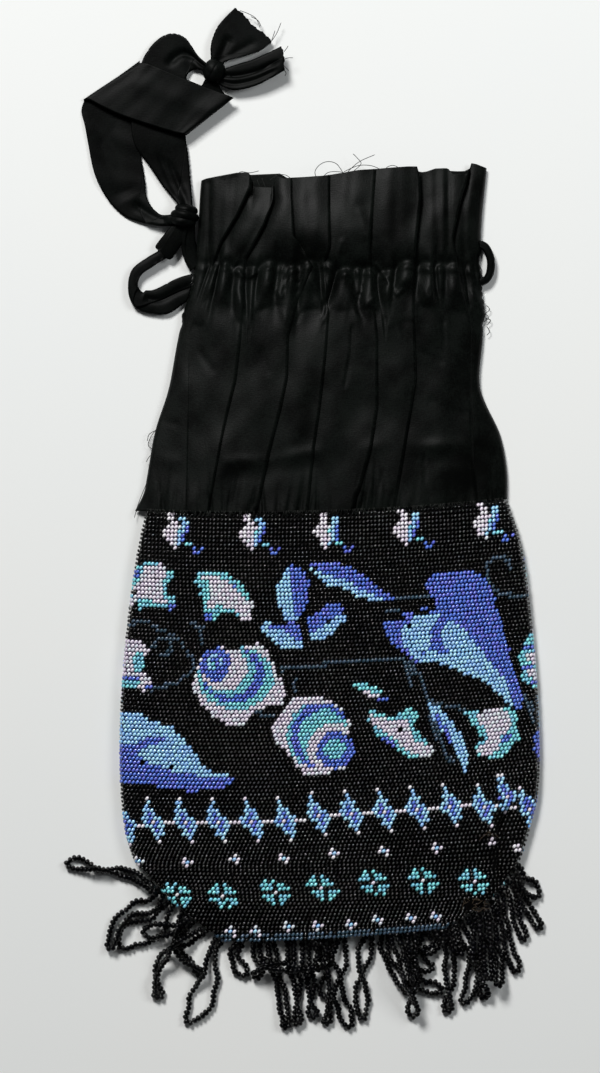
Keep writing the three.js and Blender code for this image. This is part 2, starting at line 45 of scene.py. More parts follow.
def gridPiece(name, across, along):
    bpy.ops.object.select_all(action="DESELECT")
    bpy.ops.mesh.primitive_grid_add(x_subdivisions=across, y_subdivisions=along, size=2, location=(0, 0, 0))
    piece = bpy.context.object
    piece.name = name
    piece.data.name = name
    return piece


def readPoints(piece):
    points = np.empty(len(piece.data.vertices) * 3)
    piece.data.vertices.foreach_get("co", points)
    return points.reshape(-1, 3)


def writePoints(piece, points):
    piece.data.vertices.foreach_set("co", (points * mm).ravel())
    piece.data.update()


def finishSheet(piece, thickness, tube):  # a tube is closed along its seam, and its wall grows inwards
    bpy.ops.object.select_all(action="DESELECT")
    piece.select_set(True)
    bpy.context.view_layer.objects.active = piece
    if tube:
        bpy.ops.object.mode_set(mode="EDIT")
        bpy.ops.mesh.select_all(action="SELECT")
        bpy.ops.mesh.remove_doubles(threshold=0.00001)
        bpy.ops.mesh.normals_make_consistent(inside=False)
        bpy.ops.object.mode_set(mode="OBJECT")
    wall = piece.modifiers.new("clothThickness", "SOLIDIFY")
    wall.thickness = thickness * mm
    wall.offset = -1.0 if tube else 0.0
    wall.use_even_offset = False
    bpy.ops.object.modifier_apply(modifier=wall.name)
    bpy.ops.object.shade_smooth()


def meshPiece(name, points, faces):
    mesh = bpy.data.meshes.new(name)
    mesh.from_pydata(points * mm, [], faces)
    mesh.update()
    piece = bpy.data.objects.new(name, mesh)
    bpy.context.collection.objects.link(piece)
    mesh.polygons.foreach_set("use_smooth", np.ones(len(mesh.polygons), dtype=bool))
    return piece


def settle(piece, material, node=None):  # the node is the CAD solid that the piece stands for
    piece.data.materials.append(material)
    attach(piece, "root")
    if node:
        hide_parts(node)


def unit(vectors):
    return vectors / np.maximum(np.linalg.norm(vectors, axis=1), 1e-9)[:, None]


def bump(apart, wide):  # 1 in the middle, and fading to both sides
    return np.exp(-(apart / wide) ** 2)


def lengthAlong(line):
    return np.concatenate([[0], np.cumsum(np.linalg.norm(np.diff(line, axis=0), axis=1))])


def readAlong(line, length, at):
    return np.column_stack([np.interp(at, length, line[:, k]) for k in range(line.shape[1])])


def smoothColumns(rows, at):  # a smooth curve through a table's rows, read at fractional row numbers
    rows = np.asarray(rows, float)
    last = len(rows) - 1
    at = np.clip(np.asarray(at, float), 0, last)
    i = np.minimum(at.astype(int), last - 1)
    f = (at - i)[..., None]
    before, here = rows[np.maximum(i - 1, 0)], rows[i]
    ahead, beyond = rows[i + 1], rows[np.minimum(i + 2, last)]
    bend = 2 * before - 5 * here + 4 * ahead - beyond
    twist = 3 * here - before - 3 * ahead + beyond
    return 0.5 * (2 * here + (ahead - before) * f + bend * f ** 2 + twist * f ** 3)


unevenness = {"waves": 9, "share": 0.29, "stretch": (0.7, 1.4)}


def ripple(x, y, sizes, seed):  # slanting waves that make cloth uneven, each size a wavelength and a height
    turn = np.random.default_rng(seed)
    total = np.zeros_like(x)
    for length, height in sizes:
        for _ in range(unevenness["waves"]):
            angle, phase = turn.uniform(0, math.pi), turn.uniform(0, 2 * math.pi)
            wave = length * turn.uniform(*unevenness["stretch"])
            along = x * math.cos(angle) + y * math.sin(angle)
            total += height * unevenness["share"] * np.sin(2 * math.pi * along / wave + phase)
    return total


def newMaterial(name):
    material = bpy.data.materials.new(name)
    material.use_nodes = True
    return material, material.node_tree, material.node_tree.nodes["Principled BSDF"]


def feed(tree, socket, value):  # a link from another node, or a plain value
    if hasattr(value, "is_linked"):
        tree.links.new(value, socket)
    else:
        socket.default_value = value


def mixColours(tree, factor, first, second):
    mix = tree.nodes.new("ShaderNodeMix")
    mix.data_type = "RGBA"
    for socket, value in ((0, factor), (6, first), (7, second)):
        feed(tree, mix.inputs[socket], value)
    return mix.outputs[2]


def combine(tree, operation, first, second=0.0):
    step = tree.nodes.new("ShaderNodeMath")
    step.operation = operation
    feed(tree, step.inputs[0], first)
    feed(tree, step.inputs[1], second)
    return step.outputs[0]


def noise(tree, vector, scale, detail, rough):
    cloud = tree.nodes.new("ShaderNodeTexNoise")
    cloud.inputs["Scale"].default_value = scale
    cloud.inputs["Detail"].default_value = detail
    cloud.inputs["Roughness"].default_value = rough
    tree.links.new(vector, cloud.inputs["Vector"])
    return cloud.outputs["Fac"]


def objectPlace(tree):
    return tree.nodes.new("ShaderNodeTexCoord").outputs["Object"]


def attributeValue(tree, name):
    attribute = tree.nodes.new("ShaderNodeAttribute")
    attribute.attribute_name = name
    return attribute.outputs["Fac"]


# camera, light and table

view = {
    "centre": (-1.6, -6.6), "covers": 429.2, "height": 1700.0, "focusHeight": 5.0,
    "sensor": 36.0, "near": 0.05,
}
table = {
    "size": 12000.0, "colour": (0.9, 0.9, 0.875, 1), "cool": (0.86, 0.885, 0.885, 1), "rough": 0.8,
    "cloud": (6, 4, 0.5),  # scale, detail and roughness
}
lamps = {
    "window": {
        "at": (-610, 1300, 1390), "size": 540, "power": 38.6, "colour": (1.0, 0.995, 0.985), "glints": True,
    },
    "rightFill": {
        "at": (800, 400, 900), "size": 500, "power": 4.5, "colour": (0.96, 0.985, 1.0), "glints": False,
    },
}
surround = {"colour": (0.94, 0.97, 1.0, 1), "strength": 0.045}


def makeView():
    place = (view["centre"][0] * mm, view["centre"][1] * mm, view["height"] * mm)
    bpy.ops.object.camera_add(location=place, rotation=(0, 0, 0))
    camera = bpy.context.object
    camera.data.sensor_fit = "VERTICAL"
    camera.data.sensor_height = view["sensor"]
    camera.data.lens = view["sensor"] * (view["height"] - view["focusHeight"]) / view["covers"]
    camera.data.clip_start = view["near"]
    bpy.context.scene.camera = camera
    for name, lamp in lamps.items():
        bpy.ops.object.light_add(type="AREA", location=[c * mm for c in lamp["at"]])
        made = bpy.context.object
        made.name = name
        made.rotation_euler = made.location.to_track_quat("Z", "Y").to_euler()  # it faces the middle
        made.data.size = lamp["size"] * mm
        made.data.energy = lamp["power"]
        made.data.color = lamp["colour"]
        made.visible_glossy = lamp["glints"]
    bpy.context.scene.view_settings.view_transform = "Standard"
    world = bpy.data.worlds.new("paleRoom")
    bpy.context.scene.world = world
    world.use_nodes = True
    room = world.node_tree.nodes["Background"]
    room.inputs["Color"].default_value = surround["colour"]
    room.inputs["Strength"].default_value = surround["strength"]


def makeTable():
    bpy.ops.object.select_all(action="DESELECT")
    bpy.ops.mesh.primitive_plane_add(size=table["size"] * mm, location=(0, 0, 0))
    top = bpy.context.object
    top.name = "table"
    material, tree, shader = newMaterial("paleTable")
    shader.inputs["Roughness"].default_value = table["rough"]
    cloud = noise(tree, objectPlace(tree), *table["cloud"])
    tree.links.new(mixColours(tree, cloud, table["colour"], table["cool"]), shader.inputs["Base Color"])
    top.data.materials.append(material)


makeView()
makeTable()
print("camera, lamps and table made")


# materials

weaving = {
    "patches": (70, 4, 0.6), "threads": (1.0, 2, 0.55),  # scale, detail and roughness
    "runs": ((1.0, 0.3, 0.5), (0.3, 1.0, 0.5)),  # warp and weft
    "worn": (0.36, 0.66), "rough": (0.2, 0.4), "depth": 0.0001,
}
glassLookAndPaintedCrest = {
    "bloom": (900, 3, 0.55),
    # the crest share and the crest power paint the highlight: how much of its lit crest colour a bead gets,
    # and how fast that fades into the painted shade of its flanks
    "toneShare": 0.25, "bloomShare": 0.15, "crestHighlightShare": 0.85, "less": 0.15,
    "batch": 7.3, "batchFrom": 0.62, "batchShare": 0.75,  # some beads come from another batch
    "lively": 13.7, "livelyPower": 2.0,  # a few beads catch the light best
    "dull": 0.1, "ior": 1.6, "coatIor": 1.9, "coatRough": 0.05, "crest": 1.5,
}


def nodeGroup(name, colours, values, results):
    tree = bpy.data.node_groups.new(name, "ShaderNodeTree")
    for label in colours:
        tree.interface.new_socket(label, in_out="INPUT", socket_type="NodeSocketColor")
    for label in values:
        tree.interface.new_socket(label, in_out="INPUT", socket_type="NodeSocketFloat")
    tree.interface.new_socket("Colour", in_out="OUTPUT", socket_type="NodeSocketColor")
    for label in results:
        tree.interface.new_socket(label, in_out="OUTPUT", socket_type="NodeSocketFloat")
    return tree, tree.nodes.new("NodeGroupInput").outputs, tree.nodes.new("NodeGroupOutput").inputs


def makeClothGroup():  # woven cloth: crossing threads, and worn paler patches
    tree, given, result = nodeGroup("satinWeave", ["Dark", "Worn"], ["Thread"], ["Roughness", "Height"])
    place = objectPlace(tree)
    patches = noise(tree, place, *weaving["patches"])
    threads = []
    for stretch in weaving["runs"]:
        run = tree.nodes.new("ShaderNodeVectorMath")
        run.operation = "MULTIPLY"
        run.inputs[1].default_value = stretch
        tree.links.new(place, run.inputs[0])
        scaled = tree.nodes.new("ShaderNodeVectorMath")
        scaled.operation = "SCALE"
        tree.links.new(run.outputs[0], scaled.inputs[0])
        tree.links.new(given["Thread"], scaled.inputs["Scale"])
        threads.append(noise(tree, scaled.outputs[0], *weaving["threads"]))
    weave = combine(tree, "ADD", threads[0], threads[1])
    ramp = tree.nodes.new("ShaderNodeValToRGB")
    for stop, position in zip(ramp.color_ramp.elements, weaving["worn"]):
        stop.position = position
    tree.links.new(combine(tree, "MULTIPLY", patches, weave), ramp.inputs["Fac"])
    tree.links.new(mixColours(tree, ramp.outputs["Color"], given["Dark"], given["Worn"]), result["Colour"])
    more, least = weaving["rough"]
    tree.links.new(combine(tree, "ADD", combine(tree, "MULTIPLY", patches, more), least), result["Roughness"])
    tree.links.new(weave, result["Height"])
    return tree


def makeGlassGroup():  # one bead differs from the next in tone, and old glass has a soft bloom; each bead also gets painted light, a lit crest and painted shade on its flanks
    # the first colour is the lit colour painted on a bead's crest, the second the painted shade of its
    # flanks, the third the crest colour of another batch
    colours, values = ["Glass", "PaintedFlankShade", "Tint"], ["Polish", "Sparkle"]
    tree, given, result = nodeGroup("glassToneAndPaintedCrest", colours, values, ["Roughness", "Coat"])

    def times(first, second):
        return combine(tree, "MULTIPLY", first, second)

    tone = attributeValue(tree, "beadTone")
    crestHighlight = attributeValue(tree, "paintedCrestLight")  # painted highlight: the crest of each bead is painted in its lit colour, the flanks in a painted shaded colour
    bloom = noise(tree, objectPlace(tree), *glassLookAndPaintedCrest["bloom"])
    share = combine(tree, "ADD", times(tone, glassLookAndPaintedCrest["toneShare"]), times(bloom, glassLookAndPaintedCrest["bloomShare"]))
    share = combine(tree, "SUBTRACT", share, glassLookAndPaintedCrest["less"])
    share = combine(tree, "ADD", share, times(crestHighlight, glassLookAndPaintedCrest["crestHighlightShare"]))
    batch = combine(tree, "FRACT", times(tone, glassLookAndPaintedCrest["batch"]))
    other = times(combine(tree, "GREATER_THAN", batch, glassLookAndPaintedCrest["batchFrom"]), glassLookAndPaintedCrest["batchShare"])
    # the lit colour painted on the crest, from this bead's batch
    crown = mixColours(tree, other, given["Glass"], given["Tint"])
    tree.links.new(mixColours(tree, share, given["PaintedFlankShade"], crown), result["Colour"])
    dull = times(times(bloom, tone), glassLookAndPaintedCrest["dull"])
    tree.links.new(combine(tree, "ADD", given["Polish"], dull), result["Roughness"])
    lively = combine(tree, "FRACT", times(tone, glassLookAndPaintedCrest["lively"]))
    lively = combine(tree, "POWER", lively, glassLookAndPaintedCrest["livelyPower"])
    tree.links.new(times(lively, given["Sparkle"]), result["Coat"])
    return tree


satinWeave = makeClothGroup()
glassToneAndPaintedCrest = makeGlassGroup()


def groupMaterial(name, group, values, uses):  # a material whose look comes from a node group
    material, tree, shader = newMaterial(name)
    node = tree.nodes.new("ShaderNodeGroup")
    node.node_tree = group
    for label, value in values.items():
        node.inputs[label].default_value = value
    for label, socket in uses.items():
        tree.links.new(node.outputs[label], shader.inputs[socket])
    return material, tree, shader, node


def clothMaterial(name, dark, worn, thread, depth, gloss):
    values = {"Dark": (*dark, 1), "Worn": (*worn, 1), "Thread": thread}
    uses = {"Colour": "Base Color", "Roughness": "Roughness"}
    material, tree, shader, weave = groupMaterial(name, satinWeave, values, uses)
    raised = tree.nodes.new("ShaderNodeBump")
    raised.inputs["Strength"].default_value = depth
    raised.inputs["Distance"].default_value = weaving["depth"]
    tree.links.new(weave.outputs["Height"], raised.inputs["Height"])
    tree.links.new(raised.outputs["Normal"], shader.inputs["Normal"])
    shader.inputs["Specular IOR Level"].default_value = gloss
    return material


# glass is the lit colour painted on a bead's crest and deep the painted shaded colour of its flanks; tint is
# the crest colour of another batch
def glassMaterial(name, glass, deep, tint, polish, shine, sparkle):
    values = {"Glass": (*glass, 1), "PaintedFlankShade": (*deep, 1), "Tint": (*tint, 1)}
    values.update({"Polish": polish, "Sparkle": sparkle})
    uses = {"Colour": "Base Color", "Roughness": "Roughness", "Coat": "Coat Weight"}
    material, _, shader, _ = groupMaterial(name, glassToneAndPaintedCrest, values, uses)
    shader.inputs["Coat Roughness"].default_value = glassLookAndPaintedCrest["coatRough"]
    shader.inputs["Coat IOR"].default_value = glassLookAndPaintedCrest["coatIor"]
    shader.inputs["IOR"].default_value = glassLookAndPaintedCrest["ior"]
    shader.inputs["Specular IOR Level"].default_value = shine
    return material


clothLooks = {  # dark and worn colour, thread scale, depth of the weave, gloss
    "blackSatin": ((0.0005, 0.0008, 0.0006), (0.0036, 0.005, 0.0041), 2600.0, 0.5, 0.115),
    "blackRibbon": ((0.0004, 0.0006, 0.0005), (0.0022, 0.003, 0.0026), 2600.0, 0.4, 0.075),
    "knitThread": ((0.001, 0.001, 0.0012), (0.004, 0.0035, 0.0035), 900.0, 0.6, 0.05),
    "frayThread": ((0.004, 0.004, 0.004), (0.02, 0.022, 0.02), 2500.0, 0.2, 0.1),
    "brownThread": ((0.012, 0.008, 0.005), (0.07, 0.052, 0.035), 2500.0, 0.2, 0.1),
}
glassLooks = {  # painted lit colour of the crest, painted shaded colour of the flanks and lit crest colour of another batch, then polish, shine and sparkle
    "black": ((0.001, 0.001, 0.0014), (0.0003, 0.0003, 0.0004), (0.004, 0.0022, 0.0018), 0.08, 0.5, 1.0),
    "royal": ((0.125, 0.25, 0.94), (0.004, 0.01, 0.2), (0.2, 0.22, 0.95), 0.17, 1.0, 0.6),
    "sky": ((0.55, 0.95, 1.0), (0.06, 0.3, 0.92), (0.42, 0.68, 1.0), 0.19, 1.0, 0.6),
    "turquoise": ((0.34, 1.0, 1.0), (0.004, 0.22, 0.4), (0.3, 0.72, 0.98), 0.17, 1.0, 0.6),
    "lilac": ((1.0, 0.95, 1.0), (0.5, 0.37, 0.62), (0.82, 1.0, 0.96), 0.2, 1.0, 0.6),
    "white": ((1.0, 0.99, 1.0), (0.62, 0.52, 0.68), (0.98, 0.86, 0.98), 0.2, 1.0, 0.6),
    "slate": ((0.065, 0.11, 0.17), (0.004, 0.009, 0.018), (0.035, 0.08, 0.115), 0.12, 0.7, 0.6),
    "jet": ((0.0005, 0.0005, 0.0008), (0.0002, 0.0002, 0.0003), (0.0006, 0.0008, 0.002), 0.1, 0.12, 0.4),
}
cloths = {name: clothMaterial(name, *look) for name, look in clothLooks.items()}
glassColours = {name: glassMaterial(name + "Glass", *look) for name, look in glassLooks.items()}
print("materials made")


# beaded pouch

pouch = {
    # from the rim to the bottom edge: left x and y, right x and y, dip of the middle, height of the front
    "rows": [
        (-63.5, 3.5, 81.5, 8, 2.8, 10), (-67.5, -16, 87.5, -11, 3, 10.5), (-71, -42, 91, -36.5, 3, 11),
        (-73.5, -72, 93.5, -65.5, 3, 11), (-74, -96, 94.5, -89, 3, 11), (-73, -116, 94, -108, 3, 10.5),
        (-71, -128, 91.5, -120, 2.6, 10), (-67, -138, 87.5, -134, 2, 9.5),
        (-59.5, -146, 82.5, -142.5, 1.6, 9), (-53, -153, 76, -150.5, 1.4, 8.5),
        (-43.5, -161, 67, -157.5, 1.2, 7.5), (-33, -168.5, 57, -163, 1, 6),
    ],
    "edgeHeight": 5.0, "ring": (9, 160, 60),  # points round each side, over the front and underneath
    # at the rim, the middle and the bottom
    "rowPitch": (1.67, 1.57, 1.5), "columnPitch": (1.53, 1.61, 1.67), "lean": (0.17, 0.28, 0.36),
    "firstRound": 0.8, "lastRound": 1.2, "seat": 0.6, "reach": 0.4, "slant": 48, "uneven": 0.05,
    "bead": (1.02, 0.66, 0.66, 0.9), "blackBead": (0.8, 0.56, 0.68, 0.76),  # half sizes, height, taper
    "facets": {"front": 6, "frontBlack": 5, "back": 3, "backBlack": 3},  # points across the round of a bead
    "pucker": ("507 812 500 826 499 842 499 862 502 882", 3.0, 4.6),  # a drawn fold: line, depth and width
    "bare": ("462 902 470 897 482 899 488 905 480 911 468 910", 0.8),  # where most beads are lost
    "lost": "144 762 170 767 401 731 219 665 409 625 492 653",
    "edgeShare": 0.88,  # slate beads in the last two rounds
    "groundInset": 0.95, "groundGrid": (220, 50), "groundWall": 0.5, "frontAbove": 4, "sewnHeight": 2.6,
    "flat": (0.335, 0.176),
}


def pouchRing(row, inset):  # a closed line from the left edge over the front and back underneath
    leftX, leftY, rightX, rightY, dip, crown = row
    half = math.hypot(rightX - leftX, rightY - leftY) / 2
    acrossX, acrossY = (rightX - leftX) / (2 * half), (rightY - leftY) / (2 * half)
    edge = pouch["edgeHeight"] / 2
    flat = half - edge
    sideCount, frontCount, backCount = pouch["ring"]
    arc = np.linspace(0, math.pi / 2, sideCount)
    sine, cosine = np.sin(arc), np.cos(arc)
    over = np.linspace(-flat, flat, frontCount)
    under = np.linspace(flat, -flat, backCount)
    front = 2 * edge + (crown - 2 * edge) * (1 - (over / half) ** 4) - inset
    lift = front[0] - edge  # the side arcs meet the front where it starts
    r = edge - inset
    across = np.concatenate([
        -flat - r * cosine, over, flat + r * sine, flat + r * cosine, under, -flat - r * sine,
    ])
    height = np.concatenate([
        edge + lift * sine, front, edge + lift * cosine,
        edge - r * sine, np.full(backCount, inset), edge - r * cosine,
    ])
    x = (leftX + rightX) / 2 + acrossX * across
    y = (leftY + rightY) / 2 + acrossY * across - dip * (1 - np.clip(across / half, -1, 1) ** 2)
    return np.column_stack([x, y, height]), 2 * sideCount + frontCount  # the number of points on the front


def downBag(three, share):  # a value given at the rim, the middle and the bottom
    return float(np.interp(share, (0, 0.5, 1), three))


def knitRounds():  # the fractional table row of each knitted round, and its share of the way down
    at = np.linspace(0, len(pouch["rows"]) - 1, 1200)
    rows = smoothColumns(pouch["rows"], at)
    middle = (rows[:, 1] + rows[:, 3]) / 2 - rows[:, 4]
    tall = middle[0] - middle[-1]
    wanted = [middle[0] - pouch["firstRound"]]
    while wanted[-1] - middle[-1] > pouch["lastRound"]:
        wanted.append(wanted[-1] - downBag(pouch["rowPitch"], (middle[0] - wanted[-1]) / tall))
    wanted = np.array(wanted)
    return np.interp(-wanted, -middle, at), (middle[0] - wanted) / tall


def placeBeads():  # every bead of the knitting, round by round
    found = []
    lean = 0.0
    for number, (at, share) in enumerate(zip(*knitRounds())):
        row = smoothColumns(pouch["rows"], at)
        line, frontEnd = pouchRing(row, pouch["seat"])
        closed = np.vstack([line, line[:1]])
        length = lengthAlong(closed)
        whole = length[-1]
        count = int(round(whole / downBag(pouch["columnPitch"], share)))
        lean += downBag(pouch["lean"], share)
        s = (np.arange(count) + lean % 1.0) * whole / count
        ahead = readAlong(closed, length, np.minimum(s + pouch["reach"], whole))
        along = unit(ahead - readAlong(closed, length, np.maximum(s - pouch["reach"], 0)))
        across = unit(np.array([[row[2] - row[0], row[3] - row[1], 0]]))[0]
        normal = unit(np.column_stack([-along[:, 2] * across[0], -along[:, 2] * across[1], along @ across]))
        frontLength = length[frontEnd - 1]
        isFront = s <= frontLength
        onBack = (s - frontLength) / (whole - frontLength) * frontLength  # the garland repeats on the back
        pattern = readAlong(closed, length, np.where(isFront, s, onBack))[:, :2]
        leaning = np.full(count, lean * whole / count / chart["step"])
        place = readAlong(closed, length, s)
        found.append((place, normal, along, pattern, isFront, np.full(count, number), leaning))
    return [np.concatenate(part) for part in zip(*found)]


# the knitted pattern, in steps of 0.4 mm: across from 304 at the middle, down from 520 at the rim
chart = {
    "step": 0.4, "across": 304, "down": 520,
    "figures": [  # painted one over the other
        ("turquoise", "142 565 148 562 161 564 166 570 173 570 173 577 168 584 165 593 172 594 179 610 "
                      "167 609 150 605 139 612 136 604 127 606 128 598 139 592 130 587 132 569"),
        ("lilac", "145 566 161 564 167 572 163 584 162 596 158 602 146 600 139 596 133 588 141 578"),
        ("lilac", "127 606 138 604 140 594 131 597"), ("lilac", "158 594 170 600 168 605 157 601"),
        ("royal", "131 572 139 570 139 577 132 579"), ("royal", "167 603 176 602 179 610 168 610"),
        ("turquoise", "199 572 226 571 232 578 244 585 252 601 250 621 242 621 235 613 220 612 216 620 "
                      "204 620 203 611 201 601 200 587 195 581"),
        ("lilac", "200 577 213 574 227 581 235 588 248 600 253 603 252 622 242 621 236 609 218 606 211 612 "
                  "206 606 211 591 208 582"),
        ("royal", "231 585 237 586 237 590 231 590"), ("royal", "204 612 212 611 211 621 204 621"),
        ("sky", "292 564 301 569 308 579 308 596 304 612 299 620 288 622 281 613 277 598 275 588 281 579 "
                "287 570"),
        ("royal", "291 564 301 569 309 579 309 596 304 612 299 617 292 612"),
        ("sky", "258 626 264 622 283 624 293 622 302 631 304 649 284 650 271 641 262 631"),
        ("royal", "280 624 293 621 303 631 303 642 293 637"), ("royal", "262 623 281 623 284 628 270 627"),
        ("royal", "305 620 315 612 331 603 340 602 345 612 330 620 316 630 308 633"),
        ("sky", "345 612 345 620 334 633 326 638 315 642 308 634 318 629 331 620"),
        ("royal", "309 564 345 564 361 573 381 589 395 600 384 600 362 589 342 579 322 574"),
        ("sky", "308 565 322 573 342 579 362 589 383 600 374 603 358 597 340 587 325 585 318 578"),
        ("royal", "425 582 431 575 438 572 464 569 476 573 484 578 491 585 494 596 496 607 500 618 505 636 "
                  "509 648 512 662 516 673 520 689 522 701 520 709 512 708 493 690 483 681 466 675 449 667 "
                  "431 662 410 661 408 657 399 651 390 643 384 631 384 623 388 619 404 618 402 614 416 610 "
                  "432 606 434 602 431 596 425 586"),
        ("black", "404 618 416 611 433 607 436 611 424 613 412 617"),
        ("sky", "402 629 407 623 416 616 433 613 442 616 434 622 430 631 431 643 428 649 415 657 404 648 "
                "400 638"),
        ("sky", "446 621 452 621 463 630 476 644 488 660 497 671 502 677 508 690 512 707 493 690 483 681 "
                "466 675 449 667 431 662 411 661 416 656 430 651 442 653 452 653 441 645 440 634"),
        ("turquoise", "530 633 538 632 539 690 523 681 518 662 518 653 524 643"),
        ("royal", "524 645 538 645 538 651 524 651"), ("lilac", "525 653 538 653 538 663 526 663"),
        ("royal", "523 664 532 664 532 668 523 668"), ("lilac", "525 670 538 669 538 680 526 678"),
        ("royal", "528 679 538 679 538 683 529 683"),
        ("lilac", "117 638 136 638 149 650 145 655 143 672 149 675 154 688 145 691 118 688"),
        ("turquoise", "134 654 145 654 143 672 134 672"), ("royal", "117 676 137 676 139 681 117 681"),
        ("turquoise", "117 682 139 681 144 686 120 688"), ("royal", "143 685 153 685 154 690 144 690"),
        ("sky", "117 711 140 711 149 722 170 724 182 737 192 748 202 764 212 772 229 773 235 779 205 778 "
                "117 778"),
        ("royal", "117 743 139 743 154 735 169 737 151 746 135 752 147 762 176 772 205 776 236 778 223 789 "
                  "192 791 160 789 150 783 117 782"),
        ("turquoise", "353 684 364 681 370 685 383 690 387 695 366 691 354 688"),
        ("lilac", "353 687 366 690 381 695 378 699 362 693"), ("royal", "377 697 389 696 390 701 377 701"),
        ("turquoise", "368 708 375 710 386 716 398 715 403 709 415 709 417 718 412 726 421 733 427 743 "
                      "434 748 430 758 406 757 393 747 379 738 373 730 367 718"),
        ("lilac", "370 713 378 718 400 719 410 717 409 732 415 740 434 747 430 757 413 755 402 746 386 732 "
                  "373 723"),
        ("royal", "379 735 386 735 397 744 393 747 381 740"),
        ("sky", "425 702 435 705 443 710 453 724 461 733 466 750 468 772 462 771 456 753 447 738 438 726 "
                "428 713"),
        ("royal", "432 712 438 714 450 734 457 752 452 747 441 728"),
        ("turquoise", "463 712 475 711 488 713 502 706 515 711 518 726 521 736 511 748 502 756 490 758 "
                      "474 754 474 747 482 739 477 729 470 721"),
        ("lilac", "473 714 500 707 511 716 510 729 501 737 499 748 488 756 474 753 487 738 482 727"),
        ("royal", "502 735 510 734 510 740 503 742"), ("royal", "533 731 540 731 540 757 534 756"),
    ],
    # roses: outline, then rings from the rim inwards as colour, middle and half sizes
    "roses": [
        {
            "outline":
                "198 668 204 651 221 646 230 651 242 646 257 643 268 651 274 663 280 677 285 697 283 704 "
                "264 707 251 714 243 726 230 726 212 715 201 703 195 693 193 682",
            "rings": [
                ("lilac", 240, 684, 60, 60), ("turquoise", 236, 678, 38, 31),
                ("royal", 233.5, 675, 31, 28.5), ("turquoise", 229.5, 671, 26, 25),
                ("lilac", 223.5, 668, 24, 23), ("royal", 215.5, 664, 14.5, 17), ("sky", 214, 662, 8, 9),
                ("royal", 215, 664, 5.5, 6), ("turquoise", 213, 666, 3.2, 3),
            ],
        },
        {
            "outline":
                "293 697 318 695 331 701 343 709 351 724 348 735 355 750 348 766 332 772 320 773 305 775 "
                "296 765 286 749 273 740 269 727 278 716 287 703",
            "rings": [
                ("lilac", 310, 735, 60, 60), ("turquoise", 318.5, 735, 32, 33),
                ("royal", 321, 735, 29.5, 33), ("turquoise", 324.5, 738, 26, 29),
                ("lilac", 334, 748, 26, 25.5), ("royal", 335.5, 749.5, 19, 18.5),
                ("turquoise", 334.5, 749, 10.5, 10),
            ],
        },
    ],
    "stemWidth": 2.3,
    "stems": [  # slate-blue lines, one bead wide
        "280 669 305 667 330 663 350 660 394 658 406 661 409 672 411 684",
        "410 662 421 678 426 696 434 704", "297 677 293 683 295 691",
        "153 648 157 640 165 637 172 643 171 652 163 655",
        "162 629 170 634 180 640 186 650 194 660 194 668 188 674 178 682 163 686 152 689",
        "190 623 202 626 202 643", "126 624 148 622 160 630",
        "486 569 487 578 491 586 498 592 504 595 526 596", "486 566 493 557 503 556 509 561 510 567",
        "395 599 410 599 430 597", "387 611 398 610", "525 694 530 706 534 722", "428 700 448 706 462 708",
        "430 716 436 734 444 750 452 762", "434 722 440 738", "252 706 262 714 275 716",
    ],
    "motifReach": 60,
    # small figures bead by bead: rows, the row and column of the middle, and where the middles lie
    "motifs": [
        (
            [
                "..WW......", "..WW.SS...", "..WW.SS...", ".WWWPSR...", "WWWWTSR...", "WWWPSR....",
                ".PPPSR....", ".PPS.TT...", "..P....R.R", ".......RR.",
            ],
            (4, 2), [(171, 532), (249, 533), (324, 533), (403, 528), (481, 522)],
        ),
        (
            [
                ".....W.....", ".....S.....", ".....S.....", "....SSS....", "....SRS....", "...SSRSS...",
                "...SRWRSWWW", "...SSRSS...", "....SRS....", "....SSS....", ".....S.....", ".....W.....",
            ],
            (6, 5), [
                (121, 825), (154, 823), (186, 822), (218, 822), (252, 821), (286, 819), (319, 816),
                (352, 813), (385, 810), (418, 808), (451, 807), (483, 806),
            ],
        ),
        (
            [
                "...W...", "...S...", "...S...", "..SRS..", "..SRS..", "..SRRS.", ".RSWRS.", "..SRS..",
                ".SSR...", ".SS....", ".W.....",
            ],
            (6, 3), [(506, 797)],
        ),
        (
            [
                "....W...", "....S...", "...SS...", "...SRS..", "...SRS..", "WW.SRRS.", "..SRWRS.",
                "..SSRRS.", "...SRS..", "...SS...", "...S....", "...W....",
            ],
            (6, 4), [(530, 811)],
        ),
        (
            ["..W.", ".WSP", "..W."],
            (1, 2), [(137, 862), (186, 861), (235, 860), (283, 857), (332, 854), (383, 850), (436, 847)],
        ),
        (["WW", "WW"], (0, 0), [(515, 847)]),
        ([".P", "PP"], (0, 0), [(487, 841)]),
        (
            ["..T.T..", ".TT.TT.", "TTT.TTT", "...W...", "TTT.TTT", ".TT.TT.", "..T.T.."],
            (3, 3), [(178, 895), (224, 894), (274, 891), (323, 888), (373, 884), (423, 880), (473, 880)],
        ),
        (
            ["..P.", ".PSP", "..P."],
            (1, 2), [
                (231, 931), (257, 931), (288, 928), (318, 926), (348, 924), (378, 921), (410, 919),
                (438, 916),
            ],
        ),
    ],
    "letters": {"W": "white", "S": "sky", "R": "royal", "T": "turquoise", "P": "lilac"},
}


def numbers(text):
    return np.array(text.split(), float).reshape(-1, 2)


def toChart(x, y):
    return x / chart["step"] + chart["across"], chart["down"] - y / chart["step"]


def fromChart(spots):
    x, y = (spots[:, 0] - chart["across"]) * chart["step"], (chart["down"] - spots[:, 1]) * chart["step"]
    return np.column_stack([x, y])


